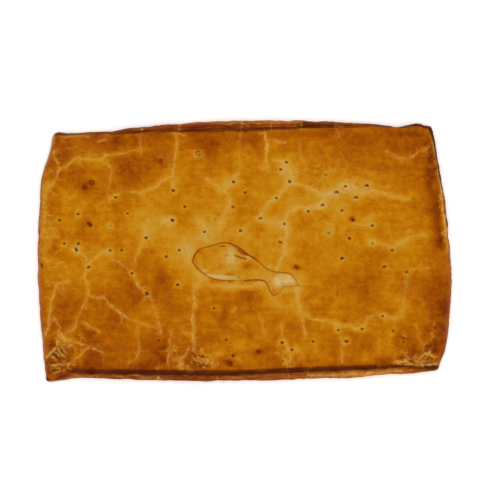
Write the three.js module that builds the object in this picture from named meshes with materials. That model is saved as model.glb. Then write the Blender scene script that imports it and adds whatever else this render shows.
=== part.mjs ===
// A rectangular empanada baked on a tray: dough under and over a filling, sealed along the edges, pricked with a
// fork and glazed with egg, with a fish cut from dough baked onto the lid to tell the filling.
// Millimetres, +Z up, the long side along X. The origin is on the table, under the middle of the pie.

import * as THREE from "three";
import { ImprovedNoise } from "three/addons/math/ImprovedNoise.js";
import { mergeGeometries, mergeVertices } from "three/addons/utils/BufferGeometryUtils.js";

// Size of the whole pie
const LENGTH = 400;
const WIDTH = 253;
const EDGE_HEIGHT = 21; // the lid at its seam
const DOME = 6; // the lid's middle above its seam
const CORNER_DROOP = 5;

// Outline seen from above. Each side reaches furthest near its middle, and its two ends are pulled in at the corners.
// A higher fullness keeps that half of the side straight for longer before it turns in. The end at the left or at
// the front comes first.
const SIDES = {
  left: { reach: LENGTH / 2, pulls: [9, 15], fullness: [2.4, 3] },
  right: { reach: LENGTH / 2, pulls: [13, 20], fullness: [3.5, 1.6] },
  front: { reach: WIDTH / 2 - 1, pulls: [6, 12], fullness: [2.6, 2.6] },
  back: { reach: WIDTH / 2, pulls: [13.5, 5.5], fullness: [1.4, 1.6] },
};
const EAR = { reach: 7, spread: 18 }; // the flap of dough pinched out at the front left corner
const CURL = { x: 165, reach: 2.5, lift: 3, spread: 10 }; // the curled lip by the back right corner

// Corners of the lid that are tucked down: each tuck's middle and radius, its drop and the width of its step
const TUCKS = [
  { x: -190, y: -124, radius: 39, drop: 2, step: 7 },
  { x: 193, y: -117, radius: 30, drop: 1.6, step: 6 },
];

// The seam: the bottom sheet is rolled up against the lid along the two long sides, between these X
const ROLL_FRONT = { from: -178, full: -150, fades: 150, to: 184 };
const ROLL_BACK = { from: -150, full: -105, fades: 90, to: 150 };

// Lumps of filling that show through the lid: width and height
const LUMPS = [
  { across: 46, height: 1.5 },
  { across: 19, height: 0.6 },
];
const ROLL_WAVE = { across: 17, height: 0.6 };

// Fork pricks, in rows from back to front: a row's Y, then its X's
const PRICK_ROWS = [
  [86, 40], [79, 35], [73, 79], [67, -10, 45], [62, 98, 118], [57, -68, 0, 90], [52, -125, 31, 108],
  [43, -57, -12, 77], [38, -160, -114, 61, 96], [30, -178, -69, -29, 16, 105], [26, -148, -127, 39, 124],
  [18, -38, -5, 82], [13, -96, 103], [8, -175, -160, 36, 124], [1, -163, -129, -118, -61, 143], [-7, -75, 95],
  [-15, -152, 50, 137], [-20, -109, 157], [-31, -62], [-42, -94], [-55, -29], [-64, 135], [-76, 91, 114, 144],
  [-87, -84, -17, 37, 67, 98, 155], [-97, 14, 46], [-100, -48, -40, -9], [-108, -14],
];
const PRICK = { mouth: 1.25, floor: 0.7, depth: 3.2, margin: 2.1 };

// The dough fish: its axis runs from the nose to the fork of the tail, and the points of its back and belly are
// shares of that length along the axis and across it
const FISH = { nose: [-49.6, -9.7], turn: -0.278, length: 90, fork: 0.065, thickness: 1.8, edge: 0.45, gap: 0.3 };
const FISH_BACK = [
  [0, 0.03], [0.03, 0.14], [0.143, 0.214], [0.26, 0.283], [0.4, 0.287],
  [0.6, 0.228], [0.8, 0.14], [0.95, 0.147], [1.06, 0.153], [1.172, 0.063],
];
const FISH_BELLY = [
  [0, -0.005], [0.05, -0.042], [0.13, -0.085], [0.26, -0.118], [0.4, -0.1],
  [0.58, -0.05], [0.74, 0.003], [0.83, -0.01], [0.89, -0.09], [0.953, -0.128],
];

// Facets
const LID_CELLS = { x: 64, y: 40 };
const SEAM_STEPS = 13;
const FISH_CELLS = { along: 30, across: 10, through: 2 };

const { lerp, smoothstep, clamp } = THREE.MathUtils;
const noise = new ImprovedNoise();

// A soft bump of height 1 at 0 that dies out beyond its spread
const bump = (distance, spread) => Math.exp(-((distance / spread) ** 2));

// How far a side reaches at a place along it, from -1 at its left or front end to 1 at the other
function sideReach({ reach, pulls, fullness }, along) {
  const pulled = lerp(pulls[0], pulls[1], (along + 1) / 2);
  const bow = ((pulls[0] + pulls[1]) / 2) * (1 - Math.abs(along) ** fullness[along < 0 ? 0 : 1]);
  return reach - pulled + bow;
}

// The width of the seam beside the lid, at a place along its side
const seamWidth = {
  left: () => 6,
  right: (along) => lerp(10, 3.5, smoothstep(along, -0.3, 0.2)),
  front: (along) => 9.3 + 1.5 * along - 3 * along ** 4,
  back: (along) => 2.5 + 7 * (1 - along ** 2) ** 1.5,
};

// A point of the plan at u along X and v along Y, both from -1 to 1. A seam share of 0 takes the lid to the outline
// of the pie, and a share of 1 stops it at the inside of the seam.
function planPoint(u, v, seamShare) {
  const reach = (side, along) => sideReach(SIDES[side], along) - seamShare * seamWidth[side](along);
  const fromLeft = (u + 1) / 2;
  const fromFront = (v + 1) / 2;
  const x = lerp(-reach("left", v), reach("right", v), fromLeft);
  const ear = EAR.reach * (1 - seamShare) * bump((u + 1) * (LENGTH / 2), EAR.spread);
  const curl = CURL.reach * (1 - seamShare) * bump(x - CURL.x, CURL.spread);
  const y = lerp(-reach("front", u) - ear, reach("back", u) + curl, fromFront);
  return new THREE.Vector2(x, y);
}

// Height of the lid's skin over a point of the table
function lidHeight(x, y) {
  const nearEnd = clamp(Math.abs(x) / (LENGTH / 2), 0, 1);
  const nearSide = clamp(Math.abs(y) / (WIDTH / 2), 0, 1);
  const dome = DOME * (1 - nearEnd ** 5) * (1 - nearSide ** 4);
  const droop = CORNER_DROOP * nearEnd ** 8 * nearSide ** 8;
  const calm = (1 - nearEnd ** 12) * (1 - nearSide ** 12);
  let height = EDGE_HEIGHT + dome - droop;
  for (const lump of LUMPS) {
    height += calm * lump.height * noise.noise(x / lump.across, y / lump.across, lump.across);
  }
  for (const tuck of TUCKS) {
    const inside = tuck.radius - Math.hypot(x - tuck.x, y - tuck.y);
    height -= tuck.drop * smoothstep(inside, -tuck.step / 2, tuck.step / 2);
  }
  return height;
}

// A smooth line through points
const spline = (points) => new THREE.SplineCurve(points.map(([x, y]) => new THREE.Vector2(x, y)));

// Sections through the seam, from the lid's edge down to the table, as shares of the seam's width and lid's height
const ROLLED = spline([
  [0, 1], [0.14, 0.965], [0.27, 0.79], [0.36, 0.74], [0.46, 0.8], [0.66, 0.9],
  [0.88, 0.83], [1, 0.56], [0.99, 0.28], [0.9, 0.06], [0.78, 0],
]);
const ROUNDED = spline([
  [0, 1], [0.24, 0.985], [0.44, 0.945], [0.6, 0.885], [0.74, 0.8], [0.86, 0.69],
  [0.95, 0.54], [1, 0.37], [0.99, 0.19], [0.92, 0.05], [0.8, 0],
]);

// How much of the rolled section a place on the seam has, from 0 to 1
function rolledShare(x, v) {
  const roll = v === 1 ? ROLL_BACK : v === -1 ? ROLL_FRONT : null;
  return roll ? smoothstep(x, roll.from, roll.full) * (1 - smoothstep(x, roll.fades, roll.to)) : 0;
}

// The lid, with each pricked cell closing in on the mouth of a hole that tapers to its floor
function lid() {
  const plane = new THREE.PlaneGeometry(2, 2, LID_CELLS.x, LID_CELLS.y);
  const points = [];
  for (let i = 0; i < plane.attributes.position.count; i++) {
    const plan = planPoint(plane.attributes.position.getX(i), plane.attributes.position.getY(i), 1);
    points.push(new THREE.Vector3(plan.x, plan.y, lidHeight(plan.x, plan.y)));
  }
  const indices = plane.getIndex().array;
  const cells = [];
  for (let i = 0; i < indices.length; i += 6) {
    const [backLeft, frontLeft, backRight, , frontRight] = indices.slice(i, i + 6);
    cells.push([backLeft, frontLeft, frontRight, backRight]);
  }
  const faces = [];
  const addQuad = (a, b, c, d) => faces.push(a, b, d, b, c, d);
  const pricks = pricksByCell(points, cells);
  cells.forEach((cell, n) => {
    const prick = pricks.get(n);
    if (!prick) return addQuad(...cell);
    const mouth = addRing(points, prick, PRICK.mouth, 0);
    const floor = addRing(points, prick, PRICK.floor, PRICK.depth);
    for (let side = 0; side < 4; side++) {
      const next = (side + 1) % 4;
      addQuad(cell[side], cell[next], mouth[next], mouth[side]);
      addQuad(mouth[side], mouth[next], floor[next], floor[side]);
    }
    addQuad(...floor);
  });
  return new THREE.BufferGeometry().setFromPoints(points).setIndex(faces);
}

// Which lid cell each prick falls in, with the prick moved to lie well inside it
function pricksByCell(points, cells) {
  const boxes = cells.map((cell) => new THREE.Box3().setFromPoints(cell.map((i) => points[i])));
  const middles = boxes.map((box) => box.getCenter(new THREE.Vector3()));
  const found = new Map();
  for (const [y, ...row] of PRICK_ROWS) {
    for (const x of row) {
      const distances = middles.map((middle) => Math.hypot(middle.x - x, middle.y - y));
      const nearest = distances.indexOf(Math.min(...distances));
      const { min, max } = boxes[nearest];
      const inside = (value, axis) => clamp(value, min[axis] + PRICK.margin, max[axis] - PRICK.margin);
      found.set(nearest, new THREE.Vector2(inside(x, "x"), inside(y, "y")));
    }
  }
  return found;
}

// Four points round a prick in the order of a cell's corners, below the lid by depth
function addRing(points, centre, radius, depth) {
  const corners = [[-1, 1], [-1, -1], [1, -1], [1, 1]];
  return corners.map(([right, back]) => {
    const [x, y] = [centre.x + right * radius, centre.y + back * radius];
    return points.push(new THREE.Vector3(x, y, lidHeight(x, y) - depth)) - 1;
  });
}

// The lid's rim as u and v, once round from the front left corner, anticlockwise from above
function rimPlaces() {
  const places = [];
  for (let i = 0; i < LID_CELLS.x; i++) places.push([-1 + (2 * i) / LID_CELLS.x, -1]);
  for (let i = 0; i < LID_CELLS.y; i++) places.push([1, -1 + (2 * i) / LID_CELLS.y]);
  for (let i = 0; i < LID_CELLS.x; i++) places.push([1 - (2 * i) / LID_CELLS.x, 1]);
  for (let i = 0; i < LID_CELLS.y; i++) places.push([-1, 1 - (2 * i) / LID_CELLS.y]);
  return places;
}

// A point of the seam, by its place on the rim and its step down the section
function seamPoint([u, v], step) {
  const inner = planPoint(u, v, 1);
  const outer = planPoint(u, v, 0);
  const rolled = ROLLED.getPoint(step / SEAM_STEPS);
  const at = ROUNDED.getPoint(step / SEAM_STEPS).lerp(rolled, rolledShare(inner.x, v));
  const plan = inner.clone().lerp(outer, at.x);
  const wave = ROLL_WAVE.height * noise.noise(plan.x / ROLL_WAVE.across, plan.y / ROLL_WAVE.across, step / 4);
  const lip = v === 1 ? CURL.lift * bump(inner.x - CURL.x, CURL.spread) * Math.sin(Math.PI * at.y) : 0;
  const roughened = Math.sin(Math.PI * at.y) * wave + lip;
  return new THREE.Vector3(plan.x, plan.y, lidHeight(inner.x, inner.y) * at.y + roughened);
}

// The seam and the wall below it, as a sheet wrapped once round the lid
function seam() {
  const places = rimPlaces();
  const sheet = new THREE.PlaneGeometry(1, 1, places.length, SEAM_STEPS);
  for (let i = 0; i < sheet.attributes.position.count; i++) {
    const place = places[(i % (places.length + 1)) % places.length];
    const step = Math.floor(i / (places.length + 1));
    sheet.attributes.position.setXYZ(i, ...seamPoint(place, step).toArray());
  }
  return sheet;
}

// The underside, flat on the table
function base() {
  const outline = rimPlaces().map((place) => seamPoint(place, SEAM_STEPS));
  const flat = new THREE.ShapeGeometry(new THREE.Shape(outline.map(({ x, y }) => new THREE.Vector2(x, y))));
  flat.setIndex(Array.from(flat.getIndex().array).reverse());
  return flat;
}

// The dough fish as a slab bent over the lid: u runs from nose to tail, v from belly to back and w upwards
function fish() {
  const back = spline(FISH_BACK);
  const belly = spline(FISH_BELLY);
  const slab = new THREE.BoxGeometry(2, 2, 2, FISH_CELLS.along, FISH_CELLS.across, FISH_CELLS.through);
  const axis = new THREE.Vector2(Math.cos(FISH.turn), Math.sin(FISH.turn)).multiplyScalar(FISH.length);
  const side = new THREE.Vector2(-axis.y, axis.x);
  const position = slab.attributes.position;
  for (let i = 0; i < position.count; i++) {
    const [u, v, w] = [position.getX(i), position.getY(i), position.getZ(i)];
    const along = (u + 1) / 2;
    const share = belly.getPoint(along).lerp(back.getPoint(along), (v + 1) / 2);
    const notch = FISH.fork * (1 - v ** 2) * smoothstep(along, 0.8, 1);
    const plan = new THREE.Vector2(...FISH.nose);
    plan.addScaledVector(axis, share.x - notch).addScaledVector(side, share.y);
    const thinned = lerp(1, FISH.edge, Math.max(Math.abs(u), Math.abs(v)) ** 6);
    const up = FISH.gap + ((w + 1) / 2) * FISH.thickness * thinned;
    position.setXYZ(i, plan.x, plan.y, lidHeight(plan.x, plan.y) + up);
  }
  return slab;
}

// One closed surface from pieces that meet edge to edge
function closed(...pieces) {
  for (const piece of pieces) {
    piece.deleteAttribute("normal");
    piece.deleteAttribute("uv");
  }
  const surface = mergeVertices(mergeGeometries(pieces), 1e-3);
  surface.computeVertexNormals();
  return surface;
}

// A piece of dough baked to a colour under its egg glaze
function bakedDough(name, geometry, color) {
  const glazed = new THREE.MeshStandardMaterial({ color, roughness: 0.45, metalness: 0 });
  const mesh = new THREE.Mesh(geometry, glazed);
  mesh.name = name;
  return mesh;
}

const empanada = new THREE.Group();
empanada.add(bakedDough("crust", closed(lid(), seam(), base()), 0xb9760f));
empanada.add(bakedDough("fish", closed(fish()), 0xc58a26));

// The outline isn't symmetrical, so the pie is set over the origin by its box
const middle = new THREE.Box3().setFromObject(empanada).getCenter(new THREE.Vector3());
empanada.children.forEach((piece) => piece.position.set(-middle.x, -middle.y, 0));

export default empanada;
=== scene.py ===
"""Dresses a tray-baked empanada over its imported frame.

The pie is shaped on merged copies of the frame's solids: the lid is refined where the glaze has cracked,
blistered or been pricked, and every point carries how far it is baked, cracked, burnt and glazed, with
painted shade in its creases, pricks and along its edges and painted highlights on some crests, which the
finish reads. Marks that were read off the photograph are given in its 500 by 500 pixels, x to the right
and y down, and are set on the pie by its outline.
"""

from __future__ import annotations

import logging
import math
from collections.abc import Iterable, Iterator
from contextlib import contextmanager
from dataclasses import dataclass, field
from enum import Enum
from typing import Any

import bpy
import numpy as np
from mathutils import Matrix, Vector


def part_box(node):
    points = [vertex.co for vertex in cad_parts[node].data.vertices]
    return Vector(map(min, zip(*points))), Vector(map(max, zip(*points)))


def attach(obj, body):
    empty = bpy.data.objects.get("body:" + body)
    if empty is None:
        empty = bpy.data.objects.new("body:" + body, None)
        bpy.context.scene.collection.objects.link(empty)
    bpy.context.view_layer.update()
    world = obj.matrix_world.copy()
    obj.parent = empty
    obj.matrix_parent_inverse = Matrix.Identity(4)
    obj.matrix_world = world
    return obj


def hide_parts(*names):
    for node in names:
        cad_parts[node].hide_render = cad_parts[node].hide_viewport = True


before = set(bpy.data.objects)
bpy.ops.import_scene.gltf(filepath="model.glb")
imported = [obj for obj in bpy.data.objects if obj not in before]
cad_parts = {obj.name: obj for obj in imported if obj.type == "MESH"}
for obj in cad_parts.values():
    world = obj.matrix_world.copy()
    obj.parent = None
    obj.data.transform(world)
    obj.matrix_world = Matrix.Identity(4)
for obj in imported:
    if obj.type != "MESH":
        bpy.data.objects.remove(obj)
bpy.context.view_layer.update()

MM = 0.001
BODY = "root"
MERGE_DISTANCE = 0.001 * MM
SMOOTH_ANGLE = math.radians(50)
WAVE_GRID = 256
log = logging.getLogger("empanada")

Point = tuple[float, float]
Path = tuple[Point, ...]
Span = tuple[float, float]

# How far up a point has to face for the egg brush to reach it
BRUSHED_SLOPE: Span = (0.3, 0.75)

# How much finer patterns on the sides are up and down than along
SIDE_STRETCH = 1.4


class Mark(Enum):
    """What a point of the dough carries for the finish to read, each from 0 to 1."""

    BAKE = "bake"
    CRACK = "crack"
    PALENESS = "paleness"
    SCORCH_AND_SHADE = "scorch"
    CHAR_AND_SHADE = "char"
    PRICK = "prick"
    GLAZE = "glaze"
    DULL = "dull"
    FLAKE = "flake"
    TOAST = "toast"


class Pattern(Enum):
    """An uneven pattern in baked dough: its size along and across the pie, in metres, and its detail."""

    CLOUD = (42 * MM, 42 * MM, 2.0)
    BLOTCH = (17 * MM, 17 * MM, 3.0)
    TOASTING = (13.2 * MM, 13.2 * MM, 3.0)
    GAP = (8 * MM, 8 * MM, 2.0)
    MOTTLE = (6 * MM, 6 * MM, 4.0)
    FLECK = (2.9 * MM, 2.9 * MM, 1.0)
    STROKE = (38 * MM, 3 * MM, 3.0)
    # Real crumb is finer than this grain, which is as coarse as it needs to be to show
    GRAIN = (1.6 * MM, 1.6 * MM, 2.0)


@dataclass(frozen=True)
class PhotoPlan:
    """The pie's outline in the photograph, in pixels, which ties what was read there to the pie."""

    left: float = 37.3
    right: float = 451.1
    back: float = 120.5
    front: float = 381.9
    image: float = 500.0

    def pixel(self) -> float:
        """Return the metres that a pixel covers."""
        low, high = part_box("crust")
        return (high.x - low.x) / (self.right - self.left)

    def pixels(self, points: np.ndarray) -> np.ndarray:
        """Find where points of the pie show in the photograph.

        Args:
            points: X and Y of each point in the frame, in metres.

        Returns:
            The same points as x and y in pixels.
        """
        low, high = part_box("crust")
        across = (points[:, 0] - low.x) / (high.x - low.x)
        down = (high.y - points[:, 1]) / (high.y - low.y)
        x = self.left + across * (self.right - self.left)
        return np.stack([x, self.back + down * (self.front - self.back)], axis=1)

    def centre(self) -> Point:
        """Find the point in the middle of the photograph.

        Returns:
            Its X and Y in the frame, in metres.
        """
        low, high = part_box("crust")
        x = low.x + (self.image / 2 - self.left) / (self.right - self.left) * (high.x - low.x)
        y = high.y - (self.image / 2 - self.back) / (self.front - self.back) * (high.y - low.y)
        return x, y


PLAN = PhotoPlan()


@dataclass(frozen=True)
class Line:
    """A crack, crease or slit: its way over the pie, its half width in pixels and how clearly it shows."""

    path: Path
    half_width: float = 1.2
    strength: float = 0.7


@dataclass(frozen=True)
class Patch:
    """A soft round patch, in pixels, and what it adds at its middle: under 0, it takes away."""

    x: float
    y: float
    wide: float
    deep: float
    amount: float


@dataclass(frozen=True)
class Nudge:
    """A soft push of the outline, in pixels: where it is strongest, its spread and how far it moves."""

    x: float
    y: float
    spread: float
    right: float
    down: float


@dataclass(frozen=True)
class Wave:
    """A layer of smooth random waves: its share of the whole, the length of a wave in pixels and its seed."""

    share: float
    size: float
    seed: int


def lowered(path: Path, step: float) -> Path:
    """Return a path moved down the photograph by some pixels."""
    return tuple((x, y + step) for x, y in path)


# Pale cracks, by quarters of the lid
BACK_LEFT_CRACKS = (
    Line(((54, 151), (57, 160), (61, 168), (68, 165), (74, 160), (81, 159), (97, 160), (107, 157),
          (124, 153)), 1.2, 0.6),
    Line(((88, 155), (101, 153), (112, 156)), 1.0, 0.3),
    Line(((61, 168), (59, 171), (56, 180), (52, 185), (47, 191), (45, 198)), 1.3, 0.6),
    Line(((124, 153), (134, 151), (141, 149)), 1.0, 0.45),
    Line(((62, 137), (75, 136.5), (88, 136.5)), 0.8, 0.4),
    Line(((97, 141), (106, 139.5)), 0.9, 0.35),
    Line(((175, 133), (177.5, 141), (177, 151), (175, 158), (174, 166), (172, 174), (173, 183),
          (174, 192)), 1.2, 0.56),
    Line(((109, 200), (115, 197), (122, 193), (131, 191), (142, 193), (155, 188), (162, 182), (170, 177)),
          1.3, 0.48),
    Line(((107, 163), (112, 170), (111, 180), (109, 190), (110, 199)), 1.2, 0.4),
    Line(((206, 178), (214, 185), (220, 189), (228, 195), (230, 199), (228, 209), (224, 216), (221, 226)),
          1.5, 0.52),
    Line(((224, 192), (230, 185), (235, 178), (240, 172)), 1.4, 0.5),
    Line(((134, 267), (136, 257), (141, 247), (145, 237), (145, 226)), 1.5, 0.4),
    Line(((202, 219), (203, 228), (207, 240), (218, 243)), 1.4, 0.45),
    Line(((165, 221), (173, 221)), 1.8, 0.5),
    Line(((42, 237), (58, 237)), 1.2, 0.5),
    Line(((45, 198), (44, 207), (46, 217), (43, 227), (48, 234)), 1.3, 0.35),
)

BACK_RIGHT_CRACKS = (
    Line(((265, 131), (266, 140), (267, 150), (266, 158), (267, 168)), 1.3, 0.78),
    Line(((268, 140), (276, 142), (285, 143)), 1.0, 0.45),
    Line(((274, 160), (283, 163), (290, 172), (293, 180)), 1.8, 0.55),
    Line(((290, 182), (283, 191), (276, 198), (267, 205), (262, 212), (260, 219)), 1.4, 0.76),
    Line(((260, 219), (268, 222), (276, 223), (284, 223)), 1.2, 0.45),
    Line(((290, 182), (302, 185), (310, 189), (317, 193), (325, 197), (331, 194), (336, 190), (342, 184),
          (350, 186), (357, 192), (364, 193), (377, 191), (390, 196), (398, 198), (408, 199)), 1.3, 0.64),
    Line(((325, 197), (322, 205), (312, 208), (302, 207), (295, 209), (287, 212), (284, 222), (287, 232),
          (286, 244), (282, 257), (278, 265), (277, 272)), 1.3, 0.68),
    Line(((300, 144), (300, 153), (303, 163)), 1.0, 0.3),
    Line(((386, 151), (391, 155), (399, 157.5), (407, 158.5), (414, 156), (418, 152), (425, 149.5)),
          1.2, 0.46),
    Line(((352, 222), (362, 225), (372, 226)), 1.3, 0.4),
    Line(((366, 240), (380, 243), (391, 248), (400, 243), (408, 237), (422, 234)), 1.4, 0.5),
    Line(((316, 233), (317, 245)), 1.0, 0.3),
    Line(((334, 126), (336, 131), (339, 137)), 0.8, 0.45),
    # The last two lines are the pale bead along the right edge, painted highlight on the lid's raised lip
    Line(((430.5, 132), (433, 144), (436, 160), (438, 175)), 1.0, 0.95),
    Line(((438.2, 175), (440.4, 188), (442.4, 205), (444, 220), (446, 234), (447.8, 250)), 1.35, 1.0),
)

FRONT_LEFT_CRACKS = (
    Line(((110, 251), (103, 252), (96, 258), (89, 264), (86, 270), (85, 277), (89, 286), (90, 295),
          (85, 302), (82, 310), (78, 319), (76.5, 327), (71, 331), (66, 334.5), (63, 338.5)), 1.2, 0.48),
    Line(((72, 250), (80, 254), (86, 258), (88, 265)), 1.1, 0.5),
    Line(((90, 296), (105, 298), (110, 304), (115, 309), (127, 317)), 1.1, 0.54),
    Line(((127, 317), (140, 322), (151, 326), (159, 326)), 1.3, 0.35),
    Line(((111, 258), (123, 265), (131, 272)), 1.3, 0.4),
    Line(((131, 272), (136, 281), (140, 287), (147, 294)), 1.2, 0.62),
    Line(((147, 294), (152, 302), (156, 312), (159, 324), (161, 334)), 1.7, 0.42),
    Line(((69, 281), (57, 284), (54, 296), (51.5, 302), (49.5, 314), (49, 324), (46, 334)), 1.3, 0.65),
    Line(((63, 339), (58, 332), (60.5, 328), (54, 317)), 1.2, 0.5),
    Line(((60.5, 337.5), (63.5, 339.5), (66.5, 340.5)), 2.2, 0.9),
    Line(((57.5, 341.5), (63, 338.8), (69.5, 340.2)), 1.1, 1.0),
    Line(((61.5, 333), (63.4, 338.8), (65.2, 344)), 1.0, 1.0),
    Line(((50, 369), (56, 368), (62, 369.5)), 0.9, 0.5),
    Line(((53, 373.5), (60, 372.5), (66, 371.5)), 0.8, 0.5),
    Line(((63, 339), (69, 341), (78, 343), (88, 346), (97, 349), (103, 352)), 1.2, 0.6),
    Line(((63, 339), (59, 344), (55.5, 348), (49.5, 353), (46.5, 357)), 1.3, 0.75),
    Line(((89.5, 348), (83, 352), (78, 357), (73, 362), (67, 364), (57, 364.5), (51, 365)), 1.2, 0.7),
    Line(((83.5, 321), (90, 325), (96, 329), (99.5, 332.5)), 1.1, 0.55),
    Line(((138, 335), (139, 345), (140, 352), (136, 359), (129, 363)), 1.2, 0.35),
    Line(((172, 329), (170, 344), (169, 359), (170, 366)), 1.2, 0.5),
    Line(((207, 278), (199, 282), (194, 289), (195, 302), (193, 319), (194, 335), (194, 352)), 1.2, 0.62),
    Line(((184, 333), (193, 334)), 1.2, 0.4),
    Line(((180.5, 358), (181, 362), (182, 367)), 2.2, 0.5),
    Line(((204.5, 358), (205, 361.5)), 1.6, 0.5),
    Line(((213, 361), (213.5, 367.5)), 1.4, 0.5),
    Line(((190, 252), (189, 260), (192, 268), (199, 276), (207, 281)), 2.2, 0.4),
)

FRONT_RIGHT_CRACKS = (
    Line(((268, 286), (274, 300), (282, 309)), 2.4, 0.3),
    Line(((297, 283), (297, 290), (298, 300), (300, 312)), 2.2, 0.76),
    Line(((300, 312), (303, 325), (304.5, 335)), 1.3, 0.55),
    Line(((232, 311), (234, 309), (237, 308)), 0.7, 0.6),
    Line(((232.5, 326.5), (236, 324)), 0.7, 0.45),
    Line(((302, 313), (310, 317), (317, 319), (332, 322), (341, 325), (352, 327), (362, 328)), 1.2, 0.62),
    Line(((332, 323), (338, 331), (343, 341), (342, 352), (342, 363)), 1.1, 0.45),
    Line(((362, 328), (368, 318), (375, 315), (384, 314), (394, 318.5)), 1.2, 0.52),
    Line(((392, 318), (401, 315), (403, 305), (404, 297), (406, 285), (406, 275)), 2.0, 0.28),
    Line(((415, 324), (417.5, 334), (419, 341), (424, 345)), 0.9, 0.35),
    Line(((433.5, 323), (432, 333), (430, 342), (425, 345)), 0.9, 0.4),
    Line(((281, 323), (282, 338)), 1.1, 0.38),
    Line(((282, 338), (288, 347), (291, 352), (287, 366)), 1.2, 0.6),
    Line(((262, 319), (264, 337)), 1.3, 0.35),
    Line(((407, 269), (418, 268), (429, 267)), 1.0, 0.35),
    Line(((212, 285), (225, 286.5), (242, 286.5), (255, 285), (264, 283)), 1.6, 0.55),
    Line(((404, 335.5), (405.5, 336.5)), 1.8, 0.7),
    Line(((196.8, 154.6), (199.4, 153.6)), 1.8, 1.0),
    # The last lines, at the front right corner, are pale flakes, partly painted highlights on their edges
    Line(((394.5, 361.5), (402.5, 360.5), (410, 358), (420, 355.5), (429, 355), (437.5, 355.5)),
          1.2, 0.85),
    Line(((407, 364), (418, 365.5), (424.5, 366), (430, 363.5), (436.5, 362.5)), 1.1, 0.85),
    Line(((400, 349.5), (404.5, 354.5), (408, 359)), 1.0, 0.5),
    Line(((423, 348), (424, 352), (421, 355.5)), 0.9, 0.5),
)

# Pale splits across the rolled seams and beside them, and pale lines along them that are painted highlights
# on the seams' rounded crests
SEAM_SPLITS = (
    Line(((142.5, 124), (142.5, 133)), 0.6, 0.9),
    Line(((179, 121), (180, 134)), 0.7, 0.9),
    Line(((242, 119), (242, 131)), 0.8, 0.9),
    Line(((271, 118), (271, 131)), 0.8, 0.9),
    Line(((301, 118), (301, 130)), 0.7, 0.9),
    Line(((334, 119), (335, 128)), 0.6, 0.6),
    Line(((158, 369), (159, 383)), 1.2, 1.0),
    Line(((217, 374), (217, 383)), 0.8, 0.9),
    Line(((287, 366), (287.5, 383)), 0.7, 0.9),
    Line(((307, 371), (307, 383)), 0.7, 0.9),
    Line(((76, 375.4), (112, 375.2), (150, 376), (180, 376.4), (217, 376.6)), 0.8, 0.4),
    Line(((222, 376.8), (250, 376.6), (285, 375.6)), 0.8, 0.35),
    Line(((307, 375.5), (340, 374.4), (372, 373.4), (399, 371)), 1.7, 0.9),
    Line(((206, 123.4), (225, 123), (246, 122.6), (272, 122.2), (300, 122)), 0.8, 0.4),
    Line(((141, 136), (140.5, 145), (142, 151)), 1.0, 0.28),
    Line(((241, 133), (240, 146), (239.5, 158), (240, 171)), 0.9, 0.26),
)

CRACKS = BACK_LEFT_CRACKS + BACK_RIGHT_CRACKS + FRONT_LEFT_CRACKS + FRONT_RIGHT_CRACKS + SEAM_SPLITS

# Creases between the lid and the rolled seams, and the foot of the front seam
FRONT_CREASE: Path = (
    (68, 370.5), (73, 371), (100, 371.5), (145, 371.8), (180, 372.3), (240, 372.5), (290, 370),
    (340, 368.2), (375, 367), (400, 366), (414, 367.4), (428, 369),
)
FRONT_FOOT: Path = (
    (50, 380.5), (70, 378.5), (100, 377.5), (150, 379.5), (250, 379.8), (310, 379), (350, 377),
    (400, 374), (437, 367),
)
BACK_CREASE: Path = (
    (52, 135), (77, 133.5), (97, 133.4), (115, 133.6), (140, 132.4), (180, 131.2), (215, 130.9),
    (245, 130.2), (270, 129.2), (290, 128.2), (310, 127.2), (332, 126),
)

# Left and right edges of the pie
LEFT_EDGE: Path = (
    (53, 136), (45, 165), (40, 200), (38, 240), (38.5, 280), (41, 320), (44, 350), (47, 378),
)
RIGHT_EDGE: Path = (
    (430, 129), (438, 168), (446, 210), (450, 250), (451, 290), (449, 320), (445, 345), (438, 366),
)

# Dark lines along the creases and edges: burning, with painted shade where the creases sink and the edges
# fall away
BURNT_AND_SHADED_EDGES = (
    Line(FRONT_CREASE[:3], 1.8, 0.9),
    Line(lowered(FRONT_CREASE[1:-3], -1.2), 1.6, 1.0),
    Line(lowered(FRONT_CREASE[1:-3], 1.0), 1.6, 1.0),
    Line(lowered(FRONT_CREASE[3:6], 2.2), 1.3, 0.75),
    Line(FRONT_CREASE[-4:], 1.9, 0.9),
    Line(FRONT_FOOT, 0.7, 0.4),
    Line(BACK_CREASE[:2], 1.3, 0.95),
    Line(BACK_CREASE[1:3], 1.2, 0.75),
    Line(((97, 133.8), (107, 131.9), (124, 129.7)), 1.2, 0.85),
    Line(((124, 129.7), (140, 128.2)), 0.9, 0.5),
    Line(BACK_CREASE[2:6], 1.3, 0.5),
    Line(BACK_CREASE[5:], 1.5, 0.95),
    Line(((304, 124.5), (334, 123.8)), 3.2, 0.85),
    Line(((335, 125), (370, 125.5), (400, 127)), 0.9, 0.7),
    Line(((400, 127), (408, 125.5), (417, 125), (429, 128)), 1.5, 0.95),
    Line(((430, 128), (435.5, 147), (439.5, 169), (441.5, 178)), 1.7, 1.0),
    Line(((441.3, 178), (444.2, 193), (447.1, 222)), 1.2, 0.9),
    Line(((447.5, 222), (450.4, 250)), 1.2, 0.9),
    Line(((425, 367.5), (430, 368), (436.5, 367.2)), 1.7, 1.0),
    Line(((45, 380), (48, 379.5)), 2.0, 0.85),
    Line(((45, 380), (57, 379), (67, 374)), 1.1, 0.6),
    Line(((451, 250), (451, 290), (449, 320), (445, 345), (438, 366)), 0.8, 0.6),
    Line(LEFT_EDGE, 0.7, 0.25),
)

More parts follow.
